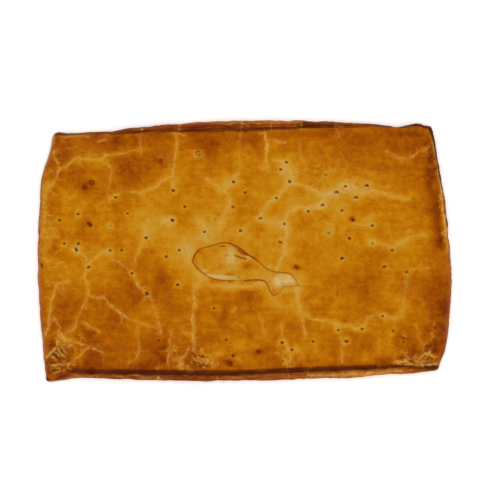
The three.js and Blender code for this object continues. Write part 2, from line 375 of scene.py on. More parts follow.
# Black lines on the dark ones, partly burning and partly painted shade in the deepest creases, in pits and
# along the steep right edge
CHARRED_AND_SHADED = (
    Line(FRONT_CREASE[1:-3], 1.1, 0.5),
    Line(((430, 129), (434.5, 144), (437.5, 160), (440, 174), (443, 190)), 1.4, 0.85),
    Line(((443, 190), (446, 214), (448.5, 235), (450, 250)), 1.1, 0.55),
    Line(((399, 127.2), (405, 126.4), (410, 125.2), (416, 124.6)), 0.8, 0.6),
    Line(((304, 126), (334, 125)), 0.9, 0.4),
    Line(((146.4, 294.4), (148.6, 294)), 1.1, 0.5),
    Line(((88.9, 223.6), (91, 224.2)), 1.2, 0.4),
)

# Black tips of the front corners, which don't fade down the sides
CHARRED_TIPS = (
    Line(((425, 366.6), (430, 367.4), (436, 366.6)), 1.5, 0.8),
    Line(((427, 369.6), (432, 369.4), (436, 368)), 1.2, 0.65),
    Line(((45, 379.6), (48, 379.4)), 1.3, 0.75),
)

# Small slits and pits, darkened with painted shade in their openings
SLITS = (
    Line(((337, 284), (337.5, 296)), 0.55, 0.45),
    Line(((88.9, 223.6), (91, 224.2)), 1.5, 0.9),
    Line(((146.4, 294.4), (148.6, 294)), 1.2, 0.8),
    Line(((170.5, 364), (171.5, 368)), 0.7, 0.7),
    Line(((203, 364), (207, 366)), 1.0, 0.9),
    Line(((425, 346), (428, 346), (431, 345)), 0.9, 0.95),
    Line(((433, 327), (435, 328)), 1.0, 0.9),
    Line(((196.3, 152.6), (197.2, 152.2)), 0.55, 0.9),
    Line(((199.2, 151.8), (200, 152.4)), 0.55, 0.9),
    Line(((200.5, 154.6), (199.8, 155.4)), 0.55, 0.8),
    Line(((197.6, 156.2), (196.8, 155.8)), 0.55, 0.8),
    Line(((195.6, 154.4), (197.8, 154)), 0.5, 0.8),
    Line(((298.8, 284.2), (299.2, 285)), 0.6, 0.45),
    Line(((300.4, 287), (301.4, 286.4)), 0.6, 0.4),
    Line(((42.6, 264.4), (43.2, 266.6)), 1.0, 0.9),
    Line(((53, 265), (57, 265)), 0.5, 0.5),
    Line(((95, 333), (96, 333.5)), 1.2, 0.45),
    Line(((86, 331.6), (92, 332.6), (99, 333.2)), 0.8, 0.4),
    Line(((192.5, 352.8), (195.5, 354.2)), 0.8, 0.8),
    Line(((199.5, 355.2), (203, 356.4), (207, 357)), 0.7, 0.7),
    Line(((422, 359), (426, 358.2), (429.5, 358.8)), 1.2, 0.35),
    Line(((413.5, 145), (415.5, 145.5)), 1.4, 0.4),
)

# Browner patches, and paler ones under 0, by quarters of the lid
BACK_LEFT_PATCHES = (
    Patch(130, 168, 19, 13, 0.24), Patch(150, 165, 14, 11, 0.08), Patch(122, 151, 16, 10, 0.16),
    Patch(160, 157, 14, 13, 0.16), Patch(75, 172, 13, 11, 0.14), Patch(87, 184, 10, 9, 0.14),
    Patch(100, 140, 45, 9, 0.18), Patch(215, 143, 26, 10, 0.19), Patch(247, 142, 12, 9, 0.14),
    Patch(245, 202, 10, 9, 0.08), Patch(182, 212, 11, 11, 0.12), Patch(117, 222, 14, 18, 0.08),
    Patch(55, 249, 9, 9, 0.1), Patch(90, 225, 9, 9, 0.14), Patch(62, 158, 14, 12, 0.16),
    Patch(95, 150, 36, 10, 0.1), Patch(207, 175, 10, 10, 0.1), Patch(130, 188, 14, 8, 0.06),
    Patch(56, 175, 8, 12, 0.12), Patch(52, 220, 7, 10, 0.1), Patch(208, 153, 8, 6, 0.1),
    Patch(211, 188, 9, 8, 0.12), Patch(155, 135, 14, 8, 0.08), Patch(85.5, 188, 2.8, 2.6, 0.22),
    Patch(92.2, 182.5, 2.4, 2.4, 0.15), Patch(161, 161.5, 2.8, 2.8, 0.22), Patch(57, 163, 7, 9, 0.12),
    Patch(50, 220, 8, 11, 0.1), Patch(152, 183, 7, 7, 0.1), Patch(212, 190, 9, 7, 0.07),
    Patch(54, 190, 7, 8, 0.1), Patch(84, 169, 7, 9, 0.1), Patch(103, 196, 10, 7, 0.12),
    Patch(134, 190, 7, 7, 0.08), Patch(172, 166, 8, 13, 0.1), Patch(199, 153, 7, 7, 0.12),
    Patch(175, 204, 6, 10, 0.08), Patch(90, 246, 8, 7, -0.1), Patch(157, 193, 9, 6, -0.08),
    Patch(243, 201, 7, 16, -0.06), Patch(242, 230, 20, 9, -0.06), Patch(190, 191, 8, 8, -0.05),
    Patch(133, 213, 8, 7, -0.06), Patch(105, 175, 10, 8, -0.06), Patch(245, 225, 160, 34, -0.08),
    Patch(160, 238, 14, 10, -0.1), Patch(225, 184, 13, 9, -0.22), Patch(205, 234, 11, 10, -0.16),
    Patch(145, 224, 12, 18, -0.12), Patch(166, 222, 8, 7, -0.14), Patch(111, 198, 8, 6, -0.1),
    Patch(90, 162, 16, 6, -0.1),
)

BACK_RIGHT_PATCHES = (
    Patch(404, 133, 20, 5, 0.12), Patch(305, 222, 9, 13, 0.14), Patch(357, 147, 20, 9, 0.18),
    Patch(360, 162, 24, 10, 0.12), Patch(397, 170, 20, 12, 0.12), Patch(408, 145, 20, 12, 0.22),
    Patch(430, 175, 8, 22, 0.24), Patch(436, 215, 8, 40, 0.26), Patch(367, 207, 13, 8, 0.1),
    Patch(270, 138, 26, 8, 0.14), Patch(310, 160, 14, 10, 0.12), Patch(350, 157, 18, 9, 0.08),
    Patch(415, 240, 12, 10, 0.12), Patch(436, 180, 10, 30, 0.12), Patch(365, 138, 50, 10, 0.14),
    Patch(415, 210, 12, 14, 0.08), Patch(320, 218, 10, 8, 0.08), Patch(300, 134, 14, 7, 0.12),
    Patch(352, 219.5, 3.8, 3.4, 0.7), Patch(322, 132, 9, 6, 0.12), Patch(262, 147, 8, 14, 0.08),
    Patch(395, 154, 20, 5, 0.1), Patch(430, 155, 6, 12, 0.1), Patch(415, 240, 10, 30, 0.05),
    Patch(435.5, 187, 2.6, 8, 0.35), Patch(437.5, 212, 2.6, 9, 0.35), Patch(440, 238, 2.6, 10, 0.25),
    Patch(434.5, 169, 2.6, 8, 0.25), Patch(419, 171, 7, 12, 0.1), Patch(270, 152, 7, 16, 0.08),
    Patch(347, 157, 9, 6, 0.08), Patch(323, 218, 7, 7, 0.1), Patch(257, 189, 6, 7, 0.07),
    Patch(371, 194, 8, 6, 0.07), Patch(255, 154, 16, 10, 0.07), Patch(321, 139, 6, 12, 0.08),
    Patch(294, 156, 8, 7, 0.08), Patch(267, 214, 8, 8, 0.1), Patch(295, 229, 12, 9, 0.07),
    Patch(381, 168, 8, 9, 0.08), Patch(411, 206, 12, 12, 0.08), Patch(433, 139, 4, 7, 0.1),
    Patch(434, 166, 4, 6, 0.12), Patch(432, 216, 6, 8, 0.08), Patch(425, 154, 5, 6, -0.08),
    Patch(295, 141, 12, 7, -0.08), Patch(334, 172, 8, 9, -0.1), Patch(399, 139, 14, 6, -0.08),
    Patch(297, 138, 10, 6, -0.1), Patch(405, 139, 12, 4, -0.08), Patch(340, 208, 12, 10, -0.06),
    Patch(365, 231, 14, 10, -0.07), Patch(328, 235, 13, 13, -0.18), Patch(300, 200, 50, 24, -0.08),
    Patch(250, 190, 20, 14, -0.08), Patch(288, 170, 11, 14, -0.24), Patch(357, 187, 19, 9, -0.17),
    Patch(327, 194, 11, 8, -0.14), Patch(270, 142, 9, 10, -0.14), Patch(402, 244, 14, 9, -0.12),
    Patch(420, 234, 12, 7, -0.1), Patch(365, 219, 10, 6, -0.1), Patch(319, 206.5, 6, 3, -0.2),
)

FRONT_LEFT_PATCHES = (
    Patch(162, 277, 13, 16, 0.26), Patch(172, 307, 12, 18, 0.1), Patch(134, 296, 22, 16, 0.24),
    Patch(67, 307, 13, 17, 0.2), Patch(117, 326, 18, 16, 0.28), Patch(90, 334, 10, 9, 0.18),
    Patch(97, 309, 9, 9, 0.12), Patch(155, 347, 16, 15, 0.28), Patch(97, 354, 20, 13, 0.34),
    Patch(125, 350, 14, 12, 0.2), Patch(187, 357, 12, 11, 0.18), Patch(224, 317, 17, 18, 0.18),
    Patch(212, 337, 12, 10, 0.16), Patch(245, 297, 18, 9, 0.16), Patch(230, 360, 16, 9, 0.1),
    Patch(194, 350, 10, 18, 0.22), Patch(66, 328, 16, 10, 0.16), Patch(58, 366, 16, 8, 0.3),
    Patch(105, 302, 12, 10, 0.08), Patch(150, 366, 30, 6, 0.14), Patch(165, 358, 12, 8, 0.14),
    Patch(234, 354.5, 3.4, 2.8, 0.35), Patch(229.5, 362.5, 3.8, 3.2, 0.7), Patch(205, 364, 4.4, 2.6, 0.35),
    Patch(54, 250, 10, 8, 0.08), Patch(57, 347, 8, 12, 0.18), Patch(60, 375, 9, 7, 0.16),
    Patch(130, 269, 8, 9, 0.12), Patch(190, 332, 7, 10, 0.1), Patch(198, 363, 12, 5, 0.12),
    Patch(146, 325, 14, 14, 0.07), Patch(85, 300, 12, 20, 0.05), Patch(185, 357, 12, 9, 0.14),
    Patch(60, 354, 19, 22, 0.18), Patch(49, 346, 6, 10, 0.06), Patch(104, 327, 15, 9, 0.1),
    Patch(101, 302, 8, 11, 0.08), Patch(64, 373, 9, 9, 0.14), Patch(196, 332, 6, 8, 0.08),
    Patch(219, 363, 16, 8, 0.08), Patch(62, 252, 16, 6, 0.08), Patch(54, 356, 10, 20, 0.14),
    Patch(127, 271, 8, 9, 0.08), Patch(146, 292, 7, 8, 0.08), Patch(101, 351, 7, 7, 0.1),
    Patch(167, 336, 11, 14, 0.12), Patch(149, 364, 14, 6, 0.09), Patch(198, 364, 8, 6, 0.1),
    Patch(71, 296, 7, 10, -0.07), Patch(170, 267, 10, 8, -0.07), Patch(182, 304, 14, 9, -0.07),
    Patch(206, 283, 6, 12, -0.06), Patch(181, 326, 5, 8, -0.09), Patch(180, 364, 6, 5, -0.09),
    Patch(203, 309, 7, 5, -0.08), Patch(245, 363, 8, 5, -0.12), Patch(120, 351, 8, 8, -0.1),
    Patch(180, 361, 6, 5, -0.08), Patch(178, 262, 24, 10, -0.06), Patch(135, 250, 12, 8, -0.08),
    Patch(186, 250, 9, 14, -0.18), Patch(202, 274, 12, 8, -0.16), Patch(64, 339, 8, 6, -0.2),
    Patch(235, 286, 26, 5, -0.12),
)

FRONT_RIGHT_PATCHES = (
    Patch(250, 330, 14, 10, 0.1), Patch(270, 347, 14, 10, 0.1), Patch(290, 327, 9, 9, 0.14),
    Patch(367, 280, 17, 22, 0.14), Patch(372, 260, 12, 10, 0.1), Patch(317, 307, 12, 9, 0.1),
    # Patch(439, 300) also paints shade on the band where the right edge rounds down
    Patch(352, 312, 12, 9, 0.1), Patch(310, 255, 9, 12, 0.08), Patch(439, 300, 11, 34, 0.2),
    Patch(432, 352, 12, 14, 0.2), Patch(408, 345, 13, 14, 0.22), Patch(365, 342, 15, 10, 0.16),
    Patch(330, 347, 12, 10, 0.1), Patch(387, 362, 14, 7, 0.24), Patch(408, 298, 22, 18, 0.08),
    Patch(422, 287, 10, 10, 0.08), Patch(259, 351.5, 3.8, 3.2, 0.65), Patch(404.5, 339, 3.8, 3, 0.4),
    Patch(296, 267, 4.4, 3, 0.7), Patch(410, 357, 17, 10, 0.2), Patch(340, 280, 8, 14, 0.12),
    Patch(402, 278, 8, 10, 0.1), Patch(425, 292, 8, 8, 0.1), Patch(440, 328, 8, 12, 0.14),
    Patch(380, 318, 9, 6, 0.1), Patch(308, 325, 8, 14, 0.08), Patch(400, 340, 10, 8, 0.12),
    Patch(334, 285, 7, 8, 0.08), Patch(430, 295, 9, 20, 0.09), Patch(410, 363, 9, 6, 0.1),
    Patch(405, 292, 9, 20, 0.13), Patch(431, 330, 8, 8, 0.1), Patch(421, 359, 14, 7, 0.14),
    Patch(420, 338, 18, 14, 0.1), Patch(318, 292, 7, 7, 0.08), Patch(271, 303, 8, 9, 0.1),
    Patch(277, 360, 18, 10, 0.08), Patch(348, 344, 8, 8, 0.08), Patch(327, 327, 6, 8, -0.07),
    Patch(420, 347, 6, 5, -0.07), Patch(284, 288, 12, 6, -0.1), Patch(324, 264, 8, 20, -0.07),
    Patch(289, 306, 7, 10, -0.08), Patch(373, 345, 10, 14, -0.08), Patch(399, 353, 8, 7, -0.08),
    Patch(275, 272, 12, 9, -0.06), Patch(352, 310, 9, 8, -0.1), Patch(386, 297, 9, 8, -0.08),
    Patch(387, 262, 8, 8, -0.07), Patch(268, 345, 7, 8, -0.08), Patch(290, 335, 6, 8, -0.07),
    Patch(435, 311, 6, 5, -0.12), Patch(300, 270, 8, 8, -0.08), Patch(290, 284, 28, 13, -0.16),
    Patch(355, 285, 12, 30, -0.05), Patch(390, 262, 14, 12, -0.1), Patch(276, 268, 22, 9, -0.14),
    Patch(272, 298, 9, 11, -0.16), Patch(335, 325, 11, 7, -0.04), Patch(403, 307, 8, 16, -0.08),
    Patch(390, 320, 10, 7, -0.1), Patch(270, 283, 8, 6, -0.08), Patch(385, 298, 10, 10, -0.06),
)

PATCHES = BACK_LEFT_PATCHES + BACK_RIGHT_PATCHES + FRONT_LEFT_PATCHES + FRONT_RIGHT_PATCHES

# Soft browning along the edges of the lid, partly painted shade where it curves down to the seams and sides
EDGE_BROWNING_AND_SHADE = (
    Line(LEFT_EDGE, 6, 0.06),
    Line(RIGHT_EDGE, 16, 0.14),
    Line(BACK_CREASE + ((400, 127), (430, 129)), 12, 0.14),
    Line(FRONT_CREASE, 9, 0.16),
    Line(((46, 368), (130, 371)), 8, 0.14),
)

# Middles of the small blisters, and of the pricks that have baked nearly shut
BLISTER_RINGS: Path = (
    (85.5, 188), (92.2, 182.5), (161, 161.5), (198, 154),
)
BAKED_SHUT: Path = (
    (296, 267), (112, 227), (213.5, 221.5), (330, 232.5), (372, 243.7), (404, 339), (325.8, 176.3),
)

# Where the crust flakes
FLAKY = (
    Patch(205, 360, 16, 8, 0.65), Patch(175, 352, 7, 16, 0.6), Patch(418, 360, 19, 6, 0.65),
    Patch(404, 366, 12, 4, 0.8), Patch(58, 367, 13, 7, 0.45), Patch(60, 345, 11, 10, 0.6),
    Patch(45, 215, 5, 45, 0.5), Patch(390, 371, 10, 3, 0.7), Patch(290, 358, 12, 9, 0.4),
    Patch(320, 170, 34, 16, 0.32), Patch(408, 131, 15, 4, 0.12), Patch(355, 186, 22, 10, 0.4),
    Patch(72, 148, 26, 10, 0.2), Patch(428, 150, 8, 14, 0.12), Patch(286, 280, 11, 5, 0.4),
    Patch(228, 262, 18, 10, 0.3),
)

# Where the dry dough of the seams is toasted more, or less under 0
TOASTED = (
    Patch(355, 374, 55, 7, -0.3), Patch(170, 127, 50, 6, 0.38), Patch(240, 125, 40, 6, 0.15),
    Patch(200, 377, 110, 5, 0.1), Patch(192, 377, 30, 5, 0.25), Patch(285, 122, 18, 4, -0.05),
    Patch(365, 124, 30, 4, 0.45), Patch(110, 376, 50, 5, 0.15), Patch(383, 373, 12, 4, 0.2),
    Patch(197, 121.5, 14, 3, -0.25), Patch(239, 119.5, 10, 3, -0.3),
)

# Pushes that make the pie's outline as uneven as the photograph has it
NUDGES = (
    Nudge(432, 367, 22, 2.2, 2.6), Nudge(446, 350, 14, 1.0, 0.5), Nudge(430, 130, 9, 2.0, -2.0),
    Nudge(57, 136, 9, -0.9, -1.6), Nudge(46, 380, 5, -1.4, 1.0), Nudge(40, 336, 22, 1.8, 0.0),
    Nudge(42, 186, 16, -1.7, 0.0), Nudge(50, 149, 13, 1.7, 0.0), Nudge(82, 132, 18, 0.0, 1.0),
    Nudge(38, 290, 32, 1.2, 0.0), Nudge(116, 379, 16, 0.0, -0.9), Nudge(159, 381, 8, 0.0, -1.4),
    Nudge(405, 373, 13, 0.0, 1.1), Nudge(410, 124, 7, 0.0, 1.3), Nudge(113, 130, 12, 0.0, 1.6),
    Nudge(212, 121, 14, 0.0, -1.0), Nudge(301, 120, 10, 0.0, -1.2), Nudge(396, 126, 9, 0.0, 2.0),
    Nudge(433, 142, 8, 1.6, 0.0), Nudge(437, 163, 9, 0.8, 0.0), Nudge(446, 211, 11, -0.8, 0.0),
    Nudge(448, 237, 9, -1.2, 0.0), Nudge(53, 138, 8, 0.8, 0.0), Nudge(47, 158, 6, 0.6, 0.0),
    Nudge(42, 346, 8, 0.8, 0.0), Nudge(60, 380, 8, 0.0, 0.7), Nudge(441, 361, 6, -1.1, -0.6),
    Nudge(371, 123, 9, 0.0, 0.7), Nudge(425, 126, 7, 0.0, 0.8), Nudge(139, 128, 7, 0.0, 0.9),
    Nudge(39, 314, 9, 0.5, 0.0),
)


@dataclass(frozen=True)
class PinchedCorner:
    """The finger marks where the front left corner was pinched shut: short ridges side by side, in pixels,
    with painted highlight on their crests and painted shade in the furrows between them.
    """

    first: Point = (51.0, 354.5)
    step: Point = (3.5, -2.3)
    run: Point = (6.0, 6.0)
    count: int = 4
    unevenness: float = 1.0
    run_shares: Span = (0.6, 1.15)
    strength_shares: Span = (0.6, 1.0)
    ridge_width: float = 1.2
    ridge_highlight_strength: float = 0.8
    furrow_width: float = 0.95
    furrow_shade_strength: float = 0.6
    seed: int = 5

    def ridges(self) -> tuple[Line, ...]:
        """Return the ridges, with painted highlight palest on their crests."""
        return self.lines(0.0, self.ridge_width, self.ridge_highlight_strength)

    def furrows(self) -> tuple[Line, ...]:
        """Return the furrows of painted shade, half a step from the ridges."""
        return self.lines(0.5, self.furrow_width, self.furrow_shade_strength)

    def lines(self, shift: float, half_width: float, strength: float) -> tuple[Line, ...]:
        """Lay lines side by side, each a little out of place and of its own length and strength.

        Args:
            shift: How far the first lies from the first ridge, in steps.
            half_width: Half the width of each, in pixels.
            strength: How clearly the clearest shows.

        Returns:
            The lines.
        """
        draw = np.random.default_rng(self.seed)
        lines = []
        for n in range(self.count):
            start = np.add(self.first, np.multiply(n + shift, self.step))
            start += draw.uniform(-1, 1, 2) * self.unevenness
            length = draw.uniform(*self.run_shares)
            end = start + length * np.add(self.run, draw.uniform(-1, 1, 2) * self.unevenness)
            shown = strength * draw.uniform(*self.strength_shares)
            lines.append(Line((tuple(start), tuple(end)), half_width, shown))
        return tuple(lines)


PINCH = PinchedCorner()


def bent_path(draw: np.random.Generator, root: np.ndarray, heading: float, bend: float, reach: Span) -> Path:
    """Draw a short way in two steps.

    Args:
        draw: Gives the random numbers.
        root: Where it starts, in pixels.
        heading: Which way it sets out, in radians.
        bend: How far its second step may turn, in radians.
        reach: Its shortest and longest length, in pixels.

    Returns:
        Its three points.
    """
    path = [root]
    for lean in (0.0, draw.uniform(-bend, bend)):
        way = np.array([math.cos(heading + lean), math.sin(heading + lean)])
        path.append(path[-1] + draw.uniform(*reach) / 2 * way)
    return tuple(map(tuple, path))


@dataclass(frozen=True)
class Crazing:
    """A place where the crust has crazed or crumbled into many short lines, in pixels."""

    x: float
    y: float
    wide: float
    deep: float
    count: int
    reach: Span
    strength: Span
    heading: float = 0.0
    sway: float = math.pi / 2
    bend: float = 0.8
    half_width: float = 0.7
    width_shares: Span = (0.8, 1.3)
    seed: int = 1

    def lines(self) -> tuple[Line, ...]:
        """Draw the short lines, most of them near the middle.

        Returns:
            The lines.
        """
        draw = np.random.default_rng(self.seed)
        lines = []
        for _ in range(self.count):
            root = draw.normal(size=2) * (self.wide / 2, self.deep / 2) + (self.x, self.y)
            heading = self.heading + draw.uniform(-self.sway, self.sway)
            path = bent_path(draw, root, heading, self.bend, self.reach)
            half_width = self.half_width * draw.uniform(*self.width_shares)
            lines.append(Line(path, half_width, draw.uniform(*self.strength)))
        return tuple(lines)


# The pale crazing at the front right corner is partly painted highlights on the edges of its flakes
PALE_CRAZING = (
    Crazing(417, 360, 22, 6, 34, (3, 8), (0.3, 0.8), seed=2),
    Crazing(80, 147, 34, 14, 8, (8, 18), (0.1, 0.28), sway=0.4, half_width=0.6, seed=3),
    Crazing(46, 222, 6, 56, 24, (3, 8), (0.2, 0.6), sway=0.8, seed=4),
    Crazing(62, 346, 20, 20, 18, (3, 9), (0.25, 0.7), seed=5),
    Crazing(195, 359, 32, 10, 22, (3, 8), (0.3, 0.7), half_width=1.0, seed=6),
    Crazing(171, 160, 14, 20, 10, (4, 9), (0.15, 0.4), heading=math.pi / 2, sway=0.6, half_width=0.6, seed=7),
    Crazing(322, 172, 40, 22, 16, (3, 9), (0.15, 0.4), half_width=0.6, seed=8),
    Crazing(288, 356, 18, 12, 12, (2, 6), (0.3, 0.7), seed=9),
    Crazing(55, 300, 14, 50, 14, (4, 10), (0.15, 0.45), half_width=0.6, seed=10),
)
DARK_CRAZING = (
    Crazing(417, 361, 24, 6, 16, (2, 6), (0.3, 0.75), half_width=0.6, seed=12),
    Crazing(200, 359, 30, 9, 10, (1, 4), (0.25, 0.5), half_width=0.5, seed=13),
    Crazing(57, 366, 14, 8, 8, (2, 5), (0.25, 0.55), half_width=0.5, seed=14),
    Crazing(440, 335, 6, 30, 8, (3, 7), (0.2, 0.5), heading=math.pi / 2, sway=0.5, half_width=0.5, seed=15),
)


def crazed(places: Iterable[Crazing]) -> tuple[Line, ...]:
    """Return the lines of all the crazed places."""
    return tuple(line for place in places for line in place.lines())


@dataclass(frozen=True)
class HairCracks:
    """Short fine cracks that grow out of the sides of the long ones, in pixels."""

    spacing: float = 15.0
    reach: Span = (4.0, 11.0)
    turn: Span = (0.6, 1.4)
    bend: float = 0.7
    half_width: float = 0.8
    share: float = 0.6
    seed: int = 21

    def grown_from(self, lines: Iterable[Line]) -> tuple[Line, ...]:
        """Grow the hair cracks.

        Args:
            lines: The long cracks.

        Returns:
            The hair cracks, each in two steps.
        """
        draw = np.random.default_rng(self.seed)
        hairs = []
        for line in lines:
            corners = np.asarray(line.path, float)
            for start, end in zip(corners, corners[1:]):
                if draw.uniform() * self.spacing > np.hypot(*(end - start)):
                    continue
                root = start + draw.uniform() * (end - start)
                heading = math.atan2(*(end - start)[::-1]) + draw.choice((-1, 1)) * draw.uniform(*self.turn)
                path = bent_path(draw, root, heading, self.bend, self.reach)
                hairs.append(Line(path, self.half_width, self.share * line.strength))
        return tuple(hairs)


def linear(colour: str) -> tuple[float, float, float, float]:
    """Turn an sRGB colour into the linear one that a shader takes.

    Args:
        colour: Six hex digits after a hash sign.

    Returns:
        Red, green, blue and an alpha of 1.
    """
    channels = [int(colour[i : i + 2], 16) / 255 for i in (1, 3, 5)]
    red, green, blue = (c / 12.92 if c <= 0.04045 else ((c + 0.055) / 1.055) ** 2.4 for c in channels)
    return red, green, blue, 1.0


def soft_step(values: np.ndarray, low: float, high: float) -> np.ndarray:
    """Rise smoothly from 0 at low to 1 at high."""
    share = np.clip((values - low) / (high - low), 0, 1)
    return share * share * (3 - 2 * share)


def ripple(places: np.ndarray, size: float, seed: int) -> np.ndarray:
    """Draw smooth random waves.

    Args:
        places: Two coordinates for each point.
        size: The length of a wave, in the same unit.
        seed: Picks the waves.

    Returns:
        A height for each point, from -1 to 1.
    """
    heights = np.random.default_rng(seed).uniform(-1, 1, (WAVE_GRID, WAVE_GRID))
    scaled = places / size
    corner = np.floor(scaled).astype(int)
    share = soft_step(scaled - corner, 0, 1)
    x, y = corner.T % WAVE_GRID
    next_x, next_y = (corner.T + 1) % WAVE_GRID
    near = heights[x, y] + share[:, 0] * (heights[next_x, y] - heights[x, y])
    far = heights[x, next_y] + share[:, 0] * (heights[next_x, next_y] - heights[x, next_y])
    return near + share[:, 1] * (far - near)


def rippled(places: np.ndarray, waves: Iterable[Wave]) -> np.ndarray:
    """Add up layers of smooth random waves, each by its share."""
    return sum(wave.share * ripple(places, wave.size, wave.seed) for wave in waves)


def distance_to(places: np.ndarray, path: Path, limit: float) -> np.ndarray:
    """Measure how far points are from a path.

    Args:
        places: x and y of each point.
        path: x and y of the path's corners.
        limit: The largest distance that matters.

    Returns:
        The distance of each point, or the limit where it is further away.
    """
    corners = np.asarray(path, float)
    distances = np.full(len(places), float(limit))
    beside = ((places > corners.min(axis=0) - limit) & (places < corners.max(axis=0) + limit)).all(axis=1)
    nearby = places[beside]
    nearest = distances[beside]
    for start, end in zip(corners, corners[1:]):
        along = end - start
        share = np.clip((nearby - start) @ along / (along @ along), 0, 1)
        nearest = np.minimum(nearest, np.hypot(*(nearby - start - share[:, None] * along).T))
    distances[beside] = nearest
    return distances


class NodeSheet:
    """The nodes of a material or a world, added one by one."""

    def __init__(self, owner: bpy.types.Material | bpy.types.World) -> None:
        """Start without any nodes.

        Args:
            owner: The new material or world.
        """
        self.owner = owner
        owner.use_nodes = True
        self.tree = owner.node_tree
        self.tree.nodes.clear()

    def add(self, kind: str, settings: dict[str, Any], inputs: dict[Any, Any], output: Any = 0) -> Any:
        """Add a node with its settings and links.

        Args:
            kind: The node's type, without its prefix.
            settings: Properties of the node by name.
            inputs: Values of its inputs by name or number; an output of another node is linked.
            output: The name or number of the output that is wanted.

        Returns:
            That output, or None for a node without one.
        """
        node = self.tree.nodes.new("ShaderNode" + kind)
        for name, value in settings.items():
            setattr(node, name, value)
        for name, value in inputs.items():
            if isinstance(value, bpy.types.NodeSocket):
                self.tree.links.new(value, node.inputs[name])
            else:
                node.inputs[name].default_value = value
        return node.outputs[output] if node.outputs else None


def select_only(piece: bpy.types.Object) -> None:
    """Deselect everything, then select one piece and make it active.

    Args:
        piece: The piece that operators are to act on.
    """
    bpy.ops.object.select_all(action="DESELECT")
    piece.select_set(True)
    bpy.context.view_layer.objects.active = piece


@contextmanager
def editing(piece: bpy.types.Object, mode: str = "FACE") -> Iterator[None]:
    """Hold a piece in edit mode.

    Args:
        piece: The piece that the edit operators act on.
        mode: FACE, EDGE or VERT, for what is selected.

    Returns:
        A context that ends in object mode.
    """
    select_only(piece)
    bpy.ops.object.mode_set(mode="EDIT")
    bpy.ops.mesh.select_mode(type=mode)
    yield
    bpy.ops.object.mode_set(mode="OBJECT")


def pick_faces(piece: bpy.types.Object, wanted: np.ndarray) -> None:
    """Select the wanted faces of a piece and nothing else.

    Args:
        piece: The piece, in object mode.
        wanted: True or False for each face.
    """
    mesh = piece.data
    mesh.vertices.foreach_set("select", np.zeros(len(mesh.vertices), bool))
    mesh.edges.foreach_set("select", np.zeros(len(mesh.edges), bool))
    mesh.polygons.foreach_set("select", wanted)


def read_rows(items: Any, what: str) -> np.ndarray:
    """Read a vector of every point or face of a mesh.

    Args:
        items: The mesh's points or faces.
        what: The vector's name, such as co, normal or center.

    Returns:
        The vectors, one to a row.
    """
    values = np.empty(len(items) * 3)
    items.foreach_get(what, values)
    return values.reshape(-1, 3)


def set_points(piece: bpy.types.Object, points: np.ndarray) -> None:
    """Move the piece's points to new places."""
    piece.data.vertices.foreach_set("co", points.ravel())
    piece.data.update()


def nudge(piece: bpy.types.Object, pushes: Iterable[Nudge]) -> None:
    """Push the outline of a piece softly to where the photograph has it.

    Args:
        piece: The piece, whose points move level with the table.
        pushes: The pushes, which add up.
    """
    points = read_rows(piece.data.vertices, "co")
    places = PLAN.pixels(points)
    for push in pushes:
        away = np.hypot(*(places - (push.x, push.y)).T) / push.spread
        reach = PLAN.pixel() * np.exp(-(away**2))
        points[:, 0] += push.right * reach
        points[:, 1] -= push.down * reach
    set_points(piece, points)


def apply_modifier(piece: bpy.types.Object, kind: str, settings: dict[str, Any]) -> None:
    """Add a modifier to a piece, set it and apply it.

    Args:
        piece: The piece.
        kind: The modifier's type.
        settings: Properties of the modifier by name.
    """
    select_only(piece)
    bpy.ops.object.modifier_add(type=kind)
    modifier = piece.modifiers[-1]
    for name, value in settings.items():
        setattr(modifier, name, value)
    bpy.ops.object.modifier_apply(modifier=modifier.name)


def copy_of_node(node: str, name: str) -> bpy.types.Object:
    """Make a piece from a frame solid: a merged copy with its triangles joined back into squares.

    Args:
        node: The frame's node.
        name: The new piece's name.

    Returns:
        The new piece.
    """
    piece = bpy.data.objects.new(name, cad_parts[node].data.copy())
    bpy.context.scene.collection.objects.link(piece)
    piece.data.materials.clear()
    with editing(piece):
        bpy.ops.mesh.select_all(action="SELECT")
        bpy.ops.mesh.remove_doubles(threshold=MERGE_DISTANCE)
        bpy.ops.mesh.tris_convert_to_quads(face_threshold=math.pi, shape_threshold=math.pi)
    return piece


class DoughSheet(NodeSheet):
    """The nodes of a dough finish, with what the points carry and the dough's uneven patterns at hand."""

    def __init__(self, owner: bpy.types.Material) -> None:
        """Start with the nodes that read each mark and draw each pattern.

        Args:
            owner: The new material.
        """
        super().__init__(owner)
        self.marks = {mark: self.add("Attribute", {"attribute_name": mark.value}, {}, "Fac") for mark in Mark}
        self.noises = {}
        place = self.add("TexCoord", {}, {}, "Object")
        for pattern in Pattern:
            along, across, detail = pattern.value
            sizes = {"Vector": place, "Scale": (1 / along, 1 / across, 1 / along)}
            stretched = self.add("Mapping", {}, sizes)
            noise = {"Vector": stretched, "Scale": 1.0, "Detail": detail}
            self.noises[pattern] = self.add("TexNoise", {}, noise)

    def uneven(self, value: Any, weights: Iterable[tuple[Pattern, float]]) -> Any:
        """Make a value uneven.

        Args:
            value: The even value.
            weights: The patterns that are added to it, each taken from its middle and by its weight.

        Returns:
            The uneven value.
        """
        for pattern, weight in weights:
            centred = self.add("Math", {"operation": "SUBTRACT"}, {0: self.noises[pattern], 1: 0.5})
            value = self.add("Math", {"operation": "MULTIPLY_ADD"}, {0: centred, 1: weight, 2: value})
        return value


